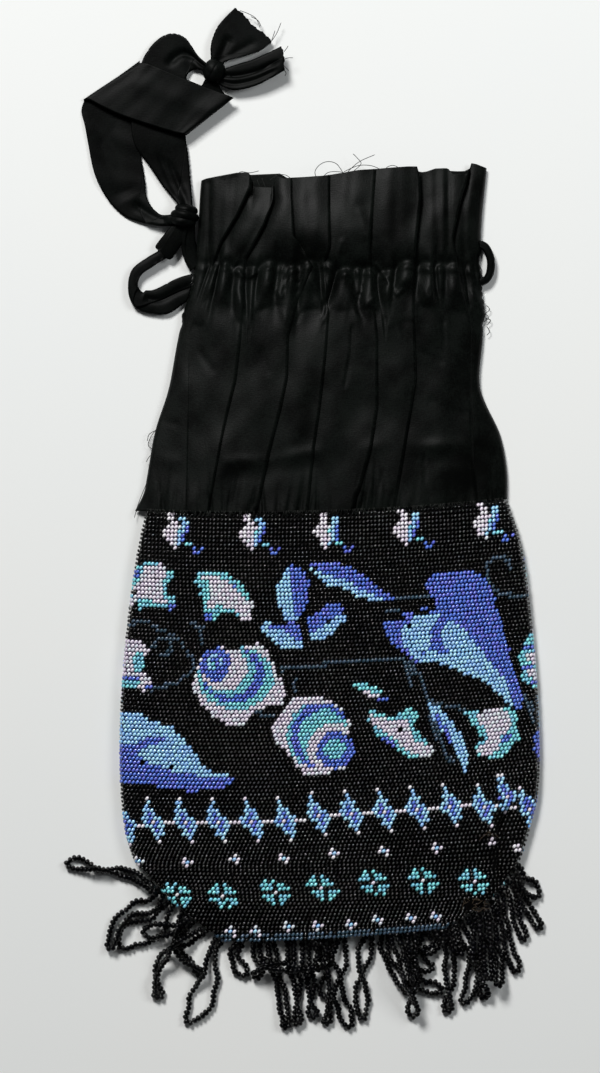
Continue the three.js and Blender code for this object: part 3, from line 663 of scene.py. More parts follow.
def within(outline, x, y):
    inside = np.zeros(len(x), bool)
    previous = outline[-1]
    for corner in outline:
        crosses = (corner[1] > y) != (previous[1] > y)
        slope = (previous[0] - corner[0]) / (previous[1] - corner[1] + 1e-12)
        inside ^= crosses & (x < corner[0] + slope * (y - corner[1]))
        previous = corner
    return inside


def nearLine(line, x, y):
    nearest = np.full(len(x), 1e9)
    for a, b in zip(line[:-1], line[1:]):
        run = b - a
        t = np.clip(((x - a[0]) * run[0] + (y - a[1]) * run[1]) / (run @ run), 0, 1)
        nearest = np.minimum(nearest, np.hypot(x - a[0] - t * run[0], y - a[1] - t * run[1]))
    return nearest


def stampMotifs(colour, x, y, rounds, leans):  # each motif lies on its own rounds and leaning columns
    for rows, (middleRow, middleColumn), middles in chart["motifs"]:
        for cx, cy in middles:
            start = np.argmin((x - cx) ** 2 + (y - cy) ** 2)
            pitch = downBag(pouch["columnPitch"], rounds[start] / rounds.max()) / chart["step"]
            beside = (x - x[start] - leans + leans[start]) / pitch
            column = np.round(beside).astype(int) + middleColumn
            row = rounds - rounds[start] + middleRow
            inRows = (row >= 0) & (row < len(rows))
            inColumns = (column >= 0) & (column < len(rows[0]))
            near = np.abs(y - cy) < chart["motifReach"]
            for i in np.nonzero(near & inRows & inColumns)[0]:
                letter = rows[row[i]][column[i]]
                if letter != ".":
                    colour[i] = chart["letters"][letter]


def beadColours(places, rounds, leans):
    x, y = toChart(places[:, 0], places[:, 1])
    colour = np.full(len(x), "black", dtype="<U10")
    for line in chart["stems"]:
        colour[nearLine(numbers(line), x, y) < chart["stemWidth"]] = "slate"
    for name, outline in chart["figures"]:
        colour[within(numbers(outline), x, y)] = name
    for rose in chart["roses"]:
        inside = within(numbers(rose["outline"]), x, y)
        for name, cx, cy, rx, ry in rose["rings"]:
            colour[inside & (((x - cx) / rx) ** 2 + ((y - cy) / ry) ** 2 < 1)] = name
    stampMotifs(colour, x, y, rounds, leans)
    atEdge = (rounds >= rounds.max() - 1) & (colour == "black")
    colour[atEdge & (rng.random(len(x)) < pouch["edgeShare"])] = "slate"
    for spot in numbers(pouch["lost"]):
        colour[np.argmin((x - spot[0]) ** 2 + (y - spot[1]) ** 2)] = "lost"
    outline, most = pouch["bare"]
    colour[within(numbers(outline), x, y) & (rng.random(len(x)) < most)] = "lost"
    return colour


def tubeShape(rounds, long, short, tall, ends):  # the upper half of a short rounded tube along its length
    stations = [(-0.6, ends), (0.0, 1.0), (0.6, ends)]
    angles = np.linspace(0, math.pi, rounds)
    points = [(-long, 0, 0.25 * tall)]
    for a, r in stations:
        points += [(long * a, short * r * math.cos(t), tall * r * math.sin(t)) for t in angles]
    points.append((long, 0, 0.25 * tall))
    last = len(points) - 1

    def at(station, k):
        return 1 + station * rounds + k

    steps = range(rounds - 1)
    faces = [(0, at(0, k), at(0, k + 1)) for k in steps]
    for s in range(2):
        faces += [(at(s, k), at(s + 1, k), at(s + 1, k + 1), at(s, k + 1)) for k in steps]
    faces += [(at(2, k), last, at(2, k + 1)) for k in steps]
    end = rounds - 1
    faces.append((0, at(0, end), at(1, end), at(2, end), last, at(2, 0), at(1, 0), at(0, 0)))
    points = np.array(points)
    return points, outwardFaces(points, faces)


def outwardFaces(points, faces):  # turned so that every face of the convex shape looks outwards
    middle = points.mean(axis=0)
    turned = []
    for face in faces:
        corners = points[list(face)]
        normal = np.cross(corners[1] - corners[0], corners[2] - corners[0])
        looksOut = normal @ (corners.mean(axis=0) - middle) > 0
        turned.append(face if looksOut else tuple(reversed(face)))
    return turned


def bakeCells(mesh, shapePoints, shapeFaces, count):  # each bead has its own small square on the map
    cells = math.ceil(math.sqrt(count))
    reach = np.abs(shapePoints[:, :2]).max(axis=0)
    local = []
    for face in shapeFaces:
        start, size = (0.86, 0.1) if len(face) > 4 else (0.05, 0.78)  # the underside has a corner of it
        for corner in face:
            spot = shapePoints[corner, :2] / reach * 0.5 + 0.5
            local.append(start + size * spot)
    corner = np.column_stack([np.arange(count) % cells, np.arange(count) // cells])
    spread = (corner[:, None, :] + np.array(local)[None, :, :]) / cells
    layer = mesh.uv_layers.new(name="OFBake")
    layer.data.foreach_set("uv", spread.reshape(-1).astype(np.float32))


def beadField(name, shape, places, normals, longs, tones):
    shapePoints, shapeFaces = shape
    basis = np.stack([longs, np.cross(normals, longs), normals], axis=1)
    points = places[:, None, :] + np.einsum("pk,bkc->bpc", shapePoints, basis)
    starts = (np.arange(len(places)) * len(shapePoints)).tolist()
    faces = [tuple(corner + start for corner in face) for start in starts for face in shapeFaces]
    piece = meshPiece(name, points.reshape(-1, 3), faces)
    # painted highlight: the higher a point of the bead, the more of the lit crest colour it gets; low points
    # get the painted shade of the flanks
    crest = np.clip(shapePoints[:, 2] / shapePoints[:, 2].max(), 0, 1) ** glassLookAndPaintedCrest["crest"]
    values = {"beadTone": np.repeat(tones, len(shapePoints)), "paintedCrestLight": np.tile(crest, len(places))}
    for label, value in values.items():
        attribute = piece.data.attributes.new(label, "FLOAT", "POINT")
        attribute.data.foreach_set("value", value.astype(np.float32))
    bakeCells(piece.data, shapePoints, shapeFaces, len(places))
    return piece


def puckerDrop(x, y):
    line, depth, wide = pouch["pucker"]
    return depth * bump(nearLine(numbers(line), *toChart(x, y)), wide)


def makeGround():
    ground = gridPiece("knittedGround", *pouch["groundGrid"])
    points = readPoints(ground)
    around, down = (points[:, 0] + 1) / 2, (1 - points[:, 1]) / 2
    shaped = np.empty_like(points)
    for share in np.unique(np.round(down, 6)):
        chosen = np.abs(down - share) < 1e-5
        row = smoothColumns(pouch["rows"], share * (len(pouch["rows"]) - 1))
        line, _ = pouchRing(row, pouch["groundInset"])
        closed = np.vstack([line, line[:1]])
        length = lengthAlong(closed)
        ring = readAlong(closed, length, around[chosen] * length[-1])
        ring[:, 2] -= puckerDrop(ring[:, 0], ring[:, 1]) * (ring[:, 2] > pouch["frontAbove"])
        if share > 0.999:  # the bottom edge is sewn shut
            ring[:, 2] = pouch["sewnHeight"]
        shaped[chosen] = ring
    writePoints(ground, shaped)
    finishSheet(ground, pouch["groundWall"], True)
    settle(ground, cloths["knitThread"], "beaded_pouch")
    return ground


def makePouch():
    ground = makeGround()
    places, normals, alongs, patterns, fronts, rounds, leans = placeBeads()
    places[:, 2] -= puckerDrop(places[:, 0], places[:, 1]) * fronts
    colours = beadColours(patterns, rounds, leans)
    slant = math.radians(pouch["slant"])
    longs = math.cos(slant) * alongs + math.sin(slant) * np.cross(normals, alongs)
    longs = longs + rng.normal(0, pouch["uneven"], (len(places), 3))
    longs = unit(longs - normals * np.sum(longs * normals, axis=1)[:, None])
    places = places + rng.normal(0, pouch["uneven"], places.shape)
    tones = rng.random(len(places))
    upper = rounds < rounds.max() // 2
    for colour, glass in glassColours.items():
        dark = colour == "black"
        for side, onSide in (("front", fronts), ("back", ~fronts)):
            facets = pouch["facets"][side + "Black" if dark else side]
            shape = tubeShape(facets, *pouch["blackBead" if dark else "bead"])
            chosen = onSide & (colours == colour)
            halves = {"Upper": chosen & upper, "Lower": chosen & ~upper} if dark else {"": chosen}
            for half, some in halves.items():
                if some.any():
                    name = side + colour.capitalize() + "Beads" + half
                    piece = beadField(name, shape, places[some], normals[some], longs[some], tones[some])
                    settle(piece, glass)


makePouch()


# satin top

satin = {
    # from the pouch's rim to the mouth: left x and y, right x and y, dip of the middle, height of the front
    "rows": [
        (-64.6, 3.8, 81.3, 8.3, 2.8, 10), (-63, 18, 81.4, 20, 1.6, 10.2), (-59.6, 35, 78.4, 34, 0.6, 10.2),
        (-54.6, 52, 70.8, 53, 0, 10.2), (-50.8, 70, 71.4, 73, 0, 10.2), (-48, 85, 72.5, 86, 0, 10),
        (-45.5, 93, 71, 94, 0, 9.4), (-44, 100, 70.5, 102, 0, 9.8), (-43, 112, 71, 114, 0, 11.1),
        (-42, 126, 72, 130, 0, 9.2), (-41, 136, 73, 141, 0, 7.1),
    ],
    "edgeHeight": 3.0, "wall": 0.4, "panel": 31, "back": 40, "down": 150, "flat": (0.33, 0.145),
    # folded edges from mouth to rim, and their depth at the mouth, above and below the gathers and at the rim
    "folds": [
        ("251 178 251 185 237 212 221 239 213 260 200 300 189 330 187 505", 2.2, 1.9, 0.25, 0.25),
        ("273 190 273 197 264 223 251 247 245 257 243 290 241 329 235 380 227 412 219 449 "
         "207 505", 2.0, 1.8, 0.8, 1.0),
        ("291 176 291 188 293 236 307 257 312 265 298 300 288 335 287 377 280 409 269 449 "
         "256 505", 1.2, 1.8, 0.7, 1.0),
        ("329 170 329 180 329 247 323 263 326 290 328 316 325 353 319 407 313 447 "
         "307 505", 0.5, 1.4, 0.9, 0.8),
        ("375 168 375 175 372 209 369 247 372 290 377 340 377 407 371 444 360 481 "
         "351 505", 0.5, 1.4, 0.5, 1.0),
        ("419 165 419 172 420 201 415 247 413 290 413 316 415 380 408 420 400 465 "
         "393 505", 2.4, 2.1, 0.9, 0.9),
        ("472 158 472 164 460 205 452 241 462 290 472 332 471 407 473 460 477 505", 2.4, 1.9, 0.4, 0.4),
    ],
    "foldLevels": (5, 60, 86, 100, 112, 136), "heldFlat": (0.3, 0.35),  # the casing holds the folds flat
    "lip": (0.6, 3.2),  # how far a folded edge stands up, and over what width
    "run": 6.5,  # how far the cloth takes to rise again
    "bunch": (0.45, 2.4),  # how the columns draw together beside a fold
    "swellLevels": (8, 60, 84, 104, 116, 140), "swell": (0.25, 0.35, 0.1, 0.3, 1.0, 0.7),  # of each panel
    "ripple": [(40, 0.55), (19, 0.34), (8, 0.1)], "depthLimits": (-2.2, 3.4),
    "rippleSeed": 5, "creaseSeed": 31, "sideSeed": 12,
    "mouthEdge": [  # share across, and how far the edge stands up there
        (-1, 0), (-0.97, 0.6), (-0.75, 2.2), (-0.66, 2), (-0.63, -3.6), (-0.5, -4.4), (-0.48, 0.4),
        (-0.42, -0.8), (-0.15, -0.6), (0.1, 1), (0.45, 1.6), (0.515, 1.4), (0.525, -1.8), (0.56, -0.9),
        (0.64, 0.5), (0.73, 0.4), (0.76, -2), (0.87, -2.2), (0.895, 2.2), (0.93, 1.7), (1, 0),
    ],
    "mouthTall": 1.4, "notch": (-0.71, -0.43, 1.6), "behind": 0.3,  # the back edge shows in the notch
    "creases": [  # lines with depth and half width in mm
        ("376 264 397 296 402 290", -0.6, 0.6), ("250 278 262 268", -0.7, 0.6),
        ("270 284 282 298", -0.5, 0.5), ("364 308 374 298", -0.5, 0.5),
        ("243 277 248 269 255 270", -0.6, 0.6), ("335 266 342 243 351 268", -0.5, 1.2),
        ("360 214 366 236", -0.5, 2.0), ("209 183 208 262", 0.9, 1.0), ("222 180 218 262", 0.25, 1.3),
        ("234 178 228 262", 0.25, 1.4), ("352 327 351 353 345 385", 0.6, 0.5),
        ("424 457 425 487", 0.4, 0.4), ("448 168 448 262", 0.8, 1.2), ("436 168 438 262", 0.4, 1.8),
        ("467 160 462 262", 0.5, 1.6), ("345 168 342 262", 0.35, 2.4), ("397 165 394 262", 0.35, 2.4),
        ("308 172 312 262", 0.35, 2.2), ("402 330 420 352 441 362", 0.4, 1.0),
        ("432 400 450 412 466 414", 0.35, 1.4), ("262 352 268 372", 0.35, 1.4),
        ("200 352 212 370", 0.35, 1.6), ("160 420 176 424", 0.4, 1.2),
    ],
    "rimCreases": {
        "count": 60, "from": -62, "to": 80, "above": 4, "long": (4, 13), "deep": (0.3, 0.9),
        "wide": (0.4, 0.9), "lean": (0.05, 0.15),
    },
    "seamX": (-62, -47, -14, 0, 29, 59, 76), "seamY": (25.7, 22.8, 23.8, 26.7, 29.7, 29.7, 31.6),
    "seam": (0.8, 2.4), "hollow": (0.6, 5.5, 3.5),  # height and width; depth, how far below, and width
    "backHeight": 0.25, "backGathers": (0.25, 2.7, 98, 14),  # height, wave, place and reach
    "ragged": (93, 13), "sideWave": (0.2, 5.3),  # where the sides are uneven, and their long wave
    "torn": (3.0, 3.6, 9, 1.5),  # the torn corner at the left end of the rim
}
gathers = {
    "seed": 77, "line": 100.6, "waves": ((1.2, 7.3, 1.2), (1.0, 2.9, 0.0)),  # height, length and phase
    "lobe": (3.2, 8.6), "from": -52, "to": 80, "slantUp": 0.15, "slantDown": 0.12, "lean": (0.35, 20, 22),
    "reachUp": (2.5, 9), "reachDown": (6, 20), "valleyWide": (1.0, 2.2), "valleyDeep": (1.4, 3.0),
    "top": 1.2, "puff": (1.0, 2.6), "puffAt": (5, 11), "puffWide": (3.5, 6.5),
    "end": (15, 24), "endDeep": (0.3, 1.1), "endSoft": (1.8, 9), "tilt": 4, "tiltReach": (14, 6),
    "groove": (0.9, 1.8, 1.7), "ridge": (0.6, -1.0, 1.4),  # depth, height over the line and width
    "puckers": 60, "puckerFrom": (-46, 80), "puckerTo": (72, 106), "puckerLean": (0, 0.3),
    "puckerLong": (2.5, 6), "puckerWide": (0.7, 1.5), "puckerDeep": (-0.8, 0.6),
}


def satinColumns(up):  # columns follow the folds, and are closer together beside them
    row = smoothColumns(satin["rows"], up)
    middleY = (row[1] + row[3]) / 2
    stops = [row[0]]
    for fold in satin["folds"]:
        line = fromChart(numbers(fold[0]))
        stops.append(np.interp(-middleY, -line[:, 1], line[:, 0]))
    stops.append(row[2])
    stops = np.maximum.accumulate(np.array(stops) + np.arange(len(stops)) * 0.01)
    bunch, power = satin["bunch"]
    even = np.arange(satin["panel"]) / satin["panel"]
    eased = bunch * even ** power + (1 - bunch) * even
    parts = [a + (b - a) * eased for a, b in zip(stops[:-1], stops[1:])]
    return np.append(np.concatenate(parts), stops[-1])


def foldRelief(x, y, column, stopsX):  # knife pleats: a folded edge stands proud of the layer under it
    total = np.zeros_like(x)
    rise, wide = satin["lip"]
    heldBelow, heldAbove = satin["heldFlat"]
    for number, (_, mouth, above, below, rim) in enumerate(satin["folds"], 1):
        depths = (rim, below, heldBelow * below, heldAbove * above, above, mouth)
        depth = np.interp(y, satin["foldLevels"], depths)
        off = x - stopsX[:, number]
        under = depth * np.exp(-np.clip(off, 0, None) / satin["run"])
        lip = -rise * depth * np.exp(np.clip(off, None, 0) / wide)
        total += np.where(column > number * satin["panel"], under, lip)
    return total


def gatherRelief(x, y):  # lobes of cloth hang from the casing's drawn line, with soft valleys between
    turn = np.random.default_rng(gathers["seed"])

    def pick(key, *count):
        return turn.uniform(*gathers[key], *count)

    line = gathers["line"] + sum(high * np.sin(x / long + phase) for high, long, phase in gathers["waves"])
    up, down = np.clip(y - line, 0, None), np.clip(line - y, 0, None)
    starts = np.cumsum(pick("lobe", 60)) + gathers["from"]
    starts = starts[starts < gathers["to"]]
    count = len(starts)
    slantUp = turn.normal(0, gathers["slantUp"], count)
    slantDown = turn.normal(0, gathers["slantDown"], count)
    most, first, wide = gathers["lean"]
    slantDown -= most * np.clip((-starts - first) / wide, 0, 1)  # the left ones lean
    valleys = starts[:, None] + slantUp[:, None] * up + slantDown[:, None] * down
    valleys = np.maximum.accumulate(valleys + 0.05 * np.arange(count)[:, None], axis=0)
    reachUp, reachDown = pick("reachUp", count)[:, None], pick("reachDown", count)[:, None]
    wides, depths = pick("valleyWide", count), pick("valleyDeep", count)[:, None]
    depths = depths * np.exp(-(up / reachUp) ** 1.4 - (down / reachDown) ** 2)
    total = np.zeros_like(x)
    soft, long = gathers["endSoft"]
    for i in range(count - 1):
        t = (x - valleys[i]) / np.maximum(valleys[i + 1] - valleys[i], 0.3)
        crest = 1 - (2 * t - 1) ** 2
        shift = turn.uniform(-gathers["top"], gathers["top"])
        above = y - (line + shift + 1.5 * crest - 1.2)  # each lobe has a rounded top
        puff, middle, wide, end = pick("puff"), pick("puffAt"), pick("puffWide"), pick("end")
        past = np.abs(down - end)
        fall = np.where(down < end, np.exp(-past / soft), np.exp(-past / long))
        tilt = turn.uniform(-gathers["tilt"], gathers["tilt"])  # and leans to one side
        tiltDown, tiltUp = gathers["tiltReach"]
        lobe = tilt * (t - 0.5) * crest * bump(down, tiltDown) * bump(up, tiltUp)
        lobe += crest * (pick("endDeep") * fall - puff * bump(down - middle, wide) * (down > 0))
        for sign, (depth, high, width) in ((1, gathers["groove"]), (-1, gathers["ridge"])):  # the drawn line
            lobe += sign * crest * depth * bump(above - high, width)
        valley = depths[i] * np.exp(-np.abs((x - valleys[i]) / wides[i]) ** 1.6)
        total += np.where((t >= 0) & (t < 1), lobe, 0) + valley
    for _ in range(gathers["puckers"]):  # short folds in between
        cx, cy = turn.uniform(gathers["puckerFrom"], gathers["puckerTo"])
        lean, long, wide = turn.normal(*gathers["puckerLean"]), pick("puckerLong"), pick("puckerWide")
        total += pick("puckerDeep") * bump(x - cx - lean * (y - cy), wide) * bump(y - cy, long)
    return total


def creaseRelief(x, y):  # the charted creases, and short ones where the cloth is sewn to the knitting
    turn = np.random.default_rng(satin["creaseSeed"])
    total = np.zeros_like(x)
    for text, depth, wide in satin["creases"]:
        total += depth * bump(nearLine(numbers(text), *toChart(x, y)) * chart["step"], wide)
    short = satin["rimCreases"]
    height = np.clip(y - short["above"], 0, None)
    for start in turn.uniform(short["from"], short["to"], short["count"]):
        long, depth = turn.uniform(*short["long"]), turn.uniform(*short["deep"])
        wide, lean = turn.uniform(*short["wide"]), turn.normal(*short["lean"])
        total += depth * bump(height, long) * bump(x - start - lean * height, wide)
    return total


def seamRelief(x, y):  # a low swelling across the skirt, with a hollow below it
    above = y - np.interp(x, satin["seamX"], satin["seamY"])
    strength = np.clip(0.3 + 0.7 * np.sin(x / 6.1 + 2) * np.sin(x / 14 + 1), 0, 1)
    high, wide = satin["seam"]
    deep, below, hollowWide = satin["hollow"]
    return strength * (deep * bump(above + below, hollowWide) - high * bump(above, wide))


def makeSatin():
    top = len(satin["rows"]) - 1
    front = satin["panel"] * (len(satin["folds"]) + 1)
    cloth = gridPiece("satinHeader", front + satin["back"], satin["down"])
    points = readPoints(cloth)
    column = np.round((points[:, 0] + 1) / 2 * (front + satin["back"])).astype(int)
    up = (points[:, 1] + 1) / 2 * top
    level = np.round((points[:, 1] + 1) / 2 * satin["down"]).astype(int)
    columnsAt = np.array([satinColumns(k / satin["down"] * top) for k in range(satin["down"] + 1)])
    stopsX = columnsAt[level][:, ::satin["panel"]]
    leftX, leftY, rightX, rightY, dip, crown = smoothColumns(satin["rows"], up).T
    half = np.hypot(rightX - leftX, rightY - leftY) / 2
    isFront = column <= front
    behindX = rightX + (leftX - rightX) * (column - front) / satin["back"]
    x = np.where(isFront, columnsAt[level, np.minimum(column, front)], behindX)
    share = np.clip((x - (leftX + rightX) / 2) / ((rightX - leftX) / 2), -1, 1)
    edge = satin["edgeHeight"] / 2
    inner = np.clip(np.abs(share) * half - (half - edge), 0, edge) / edge  # 1 at the very side
    y = (leftY + rightY) / 2 + share * (rightY - leftY) / 2 - dip * (1 - share ** 2)
    mouthY = np.interp(share, *np.array(satin["mouthEdge"]).T)
    low, high, notchY = satin["notch"]
    backY = np.where((share > low) & (share < high), notchY, satin["behind"] * mouthY)
    y = y + np.where(isFront, mouthY, backY) * np.clip((up - top) / satin["mouthTall"] + 1, 0, 1)
    relief = foldRelief(x, y, column, stopsX) + gatherRelief(x, y) + creaseRelief(x, y) + seamRelief(x, y)
    relief += ripple(x, 0.7 * y, satin["ripple"], satin["rippleSeed"])
    panel = np.minimum(column // satin["panel"], len(satin["folds"]))
    picked = np.arange(len(x))
    near, far = stopsX[picked, panel], stopsX[picked, panel + 1]
    across = np.clip((x - near) / (far - near + 1e-6), 0, 1)
    relief -= np.sin(math.pi * across) * np.interp(y, satin["swellLevels"], satin["swell"])
    calm = 1 - np.abs(share) ** 10
    smooth = satin["edgeHeight"] + (crown - satin["edgeHeight"]) * (1 - share ** 4)
    frontZ = smooth - np.clip(relief, *satin["depthLimits"]) * calm
    high, wave, place, reach = satin["backGathers"]
    backZ = satin["backHeight"] + high * np.abs(np.sin(x / wave)) * bump(y - place, reach)
    z = np.where(isFront, frontZ, backZ)
    z = edge + (z - edge) * np.sqrt(np.clip(1 - inner ** 2, 0, 1))
    turn = np.random.default_rng(satin["sideSeed"])
    jag = np.zeros_like(x)
    for _ in range(5):
        jag += turn.uniform(0.2, 0.5) * np.sin(y * turn.uniform(0.5, 2.4) + turn.uniform(0, 6))
    place, reach = satin["ragged"]
    high, wave = satin["sideWave"]
    x = x + np.sign(share) * inner * (jag * bump(y - place, reach) + high * np.sin(y / wave + 1))
    deep, place, reach, power = satin["torn"]
    x = x - np.where(share < 0, inner, 0) * deep * np.clip(1 - np.abs(y - place) / reach, 0, 1) ** power
    writePoints(cloth, np.column_stack([x, y, z]))
    finishSheet(cloth, satin["wall"], True)
    settle(cloth, cloths["blackSatin"], "satin_top")
    return cloth


satinPiece = makeSatin()
print("satin top made")


# drawstring ribbon

ribbon = {
    "flat": 20.0, "wall": 0.3, "across": 40, "steps": 10, "layer": 0.5, "lowest": 0.3,
    "ripple": [(30, 0.42), (12, 0.08)], "calmBelow": 14,  # narrow runs are smoother
    "frayed": {"ribbon_tail_upper", "ribbon_tail_lower"}, "cut": 0.35,
    # stations of each run: middle x and y, direction of the width in degrees, width, height
    "runs": {
        "ribbon_left_loop": [
            (-45.4, 93.8, 78, 9.6, 2.4), (-50.2, 91.4, 110, 10.2, 2.6), (-57, 87.6, 118, 10.8, 2.4),
            (-62.4, 87.4, 100, 9.2, 2.2), (-66.4, 88.6, 52, 6.4, 2.2), (-68.5, 93.6, 2, 3.8, 2.2),
            (-67, 99.3, -30, 4, 2.4), (-61.6, 103.4, -60, 4, 2.8), (-57, 106.2, -48, 4.2, 3.1),
            (-56.2, 107.2, -37, 8, 3.2), (-52.4, 112.4, -36, 7.8, 3.9), (-48.8, 117.2, -36, 7.4, 4.6),
        ],
        "ribbon_short_strand": [
            (-46.2, 118, 2, 5, 4.6), (-46.4, 113.4, 0, 5.4, 3.8), (-46, 108.6, 4, 5.8, 3),
            (-45, 104.6, 16, 5.6, 2.5), (-43.6, 101.4, 44, 5, 2.2),
        ],
        "ribbon_side_loop": [
            (70.4, 110.6, 92, 2.8, 2), (73, 109, 50, 2.8, 2), (74.8, 104.4, 8, 2.8, 2),
            (74.6, 99.4, -16, 2.8, 2), (73, 96.4, -56, 2.8, 2), (70.4, 95.4, -88, 3, 2),
        ],
        "ribbon_handle_left": [
            (-51.4, 120.4, 100, 4.4, 4.2), (-54.6, 119.9, 96, 4.2, 3.6), (-58.4, 120.3, 84, 4.6, 2.9),
            (-63.2, 122.6, 60, 7.6, 2), (-67.8, 126.2, 41, 12.2, 1.3), (-71.3, 132.2, 23, 16.6, 1.1),
            (-74.5, 141.3, 14, 19.6, 1.3), (-76.5, 151.2, 6, 20, 1.3), (-78.1, 160, 8, 20, 1.2),
            (-78.6, 168, 22, 23, 0.9), (-77.2, 175.5, 35.2, 27.2, 0.8), (-76.9, 175.9, 35.2, 26.6, 1.6),
            (-75.8, 175.8, 35.8, 25.2, 2.4), (-71.6, 174.1, 46.7, 24.5, 3.2), (-65.6, 171.6, 53, 24, 3.9),
            (-59.2, 169.1, 56.5, 23.2, 4.3), (-48, 165, 54.6, 22.2, 4.9), (-42.6, 163.2, 46, 23, 5.4),
            (-38.4, 161.8, 38, 24, 5.6), (-37.6, 161.2, 38, 24, 4.0), (-38.2, 162.8, 34, 20, 2.6),
            (-38.8, 168.6, 14, 15, 2), (-37.7, 173, 3, 8, 2.2), (-36.9, 176.4, -8, 5, 2.8),
        ],
        "ribbon_handle_right": [
            (-47.2, 124.6, 6, 4.8, 4.4), (-48.2, 128.6, 8, 6.8, 3.2), (-51.2, 135.6, 12, 11.6, 1.8),
            (-54.4, 144.4, 13, 16.4, 1.5), (-57.9, 152.8, 6, 21, 2.1), (-58.4, 164, 0, 21.4, 2.2),
            (-57.2, 174, -6, 19.6, 2.2), (-55.2, 182.4, -28, 18.6, 1.8), (-50.3, 187.3, -56, 17.4, 1.8),
            (-45.8, 186.8, -74, 13.2, 2), (-41.6, 183.1, -70, 6.2, 2.7), (-38.4, 180.8, -64, 5, 3.2),
        ],
        "ribbon_tail_upper": [
            (-36, 181, -8, 4.8, 3.6), (-34.4, 184, -10, 5.8, 3.5), (-31.5, 187.3, -20, 12.4, 3.1),
            (-28.8, 190.2, -26, 16.6, 2.8), (-25.4, 193.6, -35, 19.6, 2.6),
            (-20.2, 198.4, -42.6, 20.2, 2.5),
        ],
        "ribbon_tail_lower": [
            (-34.4, 177.6, -96, 4.8, 3.6), (-31.6, 177.1, -96, 7.6, 3.9), (-27.2, 177.2, -92, 10.2, 4.3),
            (-20.3, 178.9, -78, 10.2, 4.8), (-13.8, 181.8, -78, 9.8, 5.2), (-8.2, 184.8, -83, 9.6, 5.4),
        ],
    },
    # soft dents along a run: first and last station, place across from -1 to 1 at each, depth and half width
    "dents": {
        "ribbon_tail_upper": [(0, 3.6, 0.1, -0.35, 0.8, 1.7), (0, 4.4, 0.4, 0.5, 0.5, 1.8)],
        "ribbon_handle_right": [
            (7.0, 11, 0.1, 0.1, 1.4, 1.7), (0, 3, 0.2, 0.0, 0.8, 1.5), (1, 3.4, -0.5, -0.3, 0.5, 1.2),
        ],
        "ribbon_handle_left": [
            (1, 4.2, 0.3, 0.1, 1.0, 1.6), (4.6, 9.4, -0.15, -0.25, 0.9, 5.5), (13, 18, 0.25, 0.2, 0.35, 4),
        ],
        "ribbon_left_loop": [(0, 3.4, 0.0, 0.3, 1.0, 1.4)],
        "ribbon_tail_lower": [(0, 4.6, -0.3, 0.1, 1.2, 1.0), (0.5, 4.4, 0.45, 0.6, 0.9, 1.0)],
    },
    # middle, half sizes, tilt of the turns in degrees, how many turns show and how deep their grooves are
    "knots": {
        "ribbon_knot": ((-47.7, 121.6, 4.8), (5.6, 5.3, 4.5), -8, 3, 0.2),
        "ribbon_end_knot": ((-36.0, 179.6, 3.5), (4.5, 5.0, 3.4), 62, 2, 0.1),
    },
    "knotGrid": (72, 56), "knotRipple": [(7, 0.06)], "knotSeed": 9,
}


def foldLengthwise(u, width):  # place across and height of a ribbon that is folded to be this narrow
    layers = np.maximum(ribbon["flat"] / width, 1.0)
    q = layers * u
    nearest = np.round((u + 1) / 2 * ribbon["across"])
    for crease in (-3, -1, 1, 3):  # a line of points lies on each lengthwise crease
        onCrease = np.round((crease / layers + 1) / 2 * ribbon["across"]) == nearest
        q = np.where(onCrease & (abs(crease) < layers), crease, q)
    side = 1 - np.abs((q + 1) % 4 - 2)
    stacked = q / 2 - 0.9 * np.sin(math.pi * q) / (2 * math.pi)
    rise = np.clip(layers - 1, 0, 1) * ribbon["layer"] * stacked
    return side, rise - 0.12 * np.clip(layers - 1.5, 0, 2) * side ** 2


def makeRibbon(name, stations):
    last = len(stations) - 1
    steps = last * ribbon["steps"]
    strip = gridPiece(name.replace("ribbon_", "satinRibbon_"), ribbon["across"], steps)
    points = readPoints(strip)
    u = points[:, 0]
    at = (points[:, 1] + 1) / 2 * last
    here = smoothColumns(stations, at)
    width = here[:, 3]
    ahead = smoothColumns(stations, np.minimum(at + 0.03, last))
    along = unit((ahead - smoothColumns(stations, np.maximum(at - 0.03, 0)))[:, [0, 1, 4]])
    turn = np.radians(here[:, 2])
    across = np.column_stack([np.cos(turn), np.sin(turn), np.zeros(len(turn))])
    up = unit(np.cross(across, along))
    up *= np.where(np.median(up[:, 2]) < 0, -1, 1)
    side, rise = foldLengthwise(u, width)
    seed = sum(ord(letter) for letter in name)
    soft = ripple(here[:, 0] + here[:, 4] * 7, here[:, 1] + 5 * side, ribbon["ripple"], seed)
    soft = soft * np.clip(width / ribbon["calmBelow"], 0.1, 1)
    for first, final, sideFirst, sideFinal, depth, wide in ribbon["dents"].get(name, []):
        t = np.clip((at - first) / (final - first), 0, 1)
        fade = np.clip((at - first) * 2 + 0.2, 0, 1) * np.clip((final - at) * 2 + 0.2, 0, 1)
        apart = (side - sideFirst - (sideFinal - sideFirst) * t) * width / 2
        soft = soft - depth * fade * bump(apart, wide)
    shaped = here[:, [0, 1, 4]] + across * (side * width / 2)[:, None] + up * (rise + soft)[:, None]
    if name in ribbon["frayed"]:  # the cut end is uneven
        ragged = 0.35 * np.sin(u * 5 + seed) + 0.18 * np.sin(u * 17) + 0.12 * np.sin(u * 41 + 2)
        nearEnd = np.clip(at - last + ribbon["cut"], 0, None) / ribbon["cut"]
        shaped += along * (nearEnd * ragged)[:, None]
    shaped[:, 2] = np.maximum(shaped[:, 2], ribbon["lowest"])
    writePoints(strip, shaped)
    finishSheet(strip, ribbon["wall"], False)
    settle(strip, cloths["blackRibbon"], name)


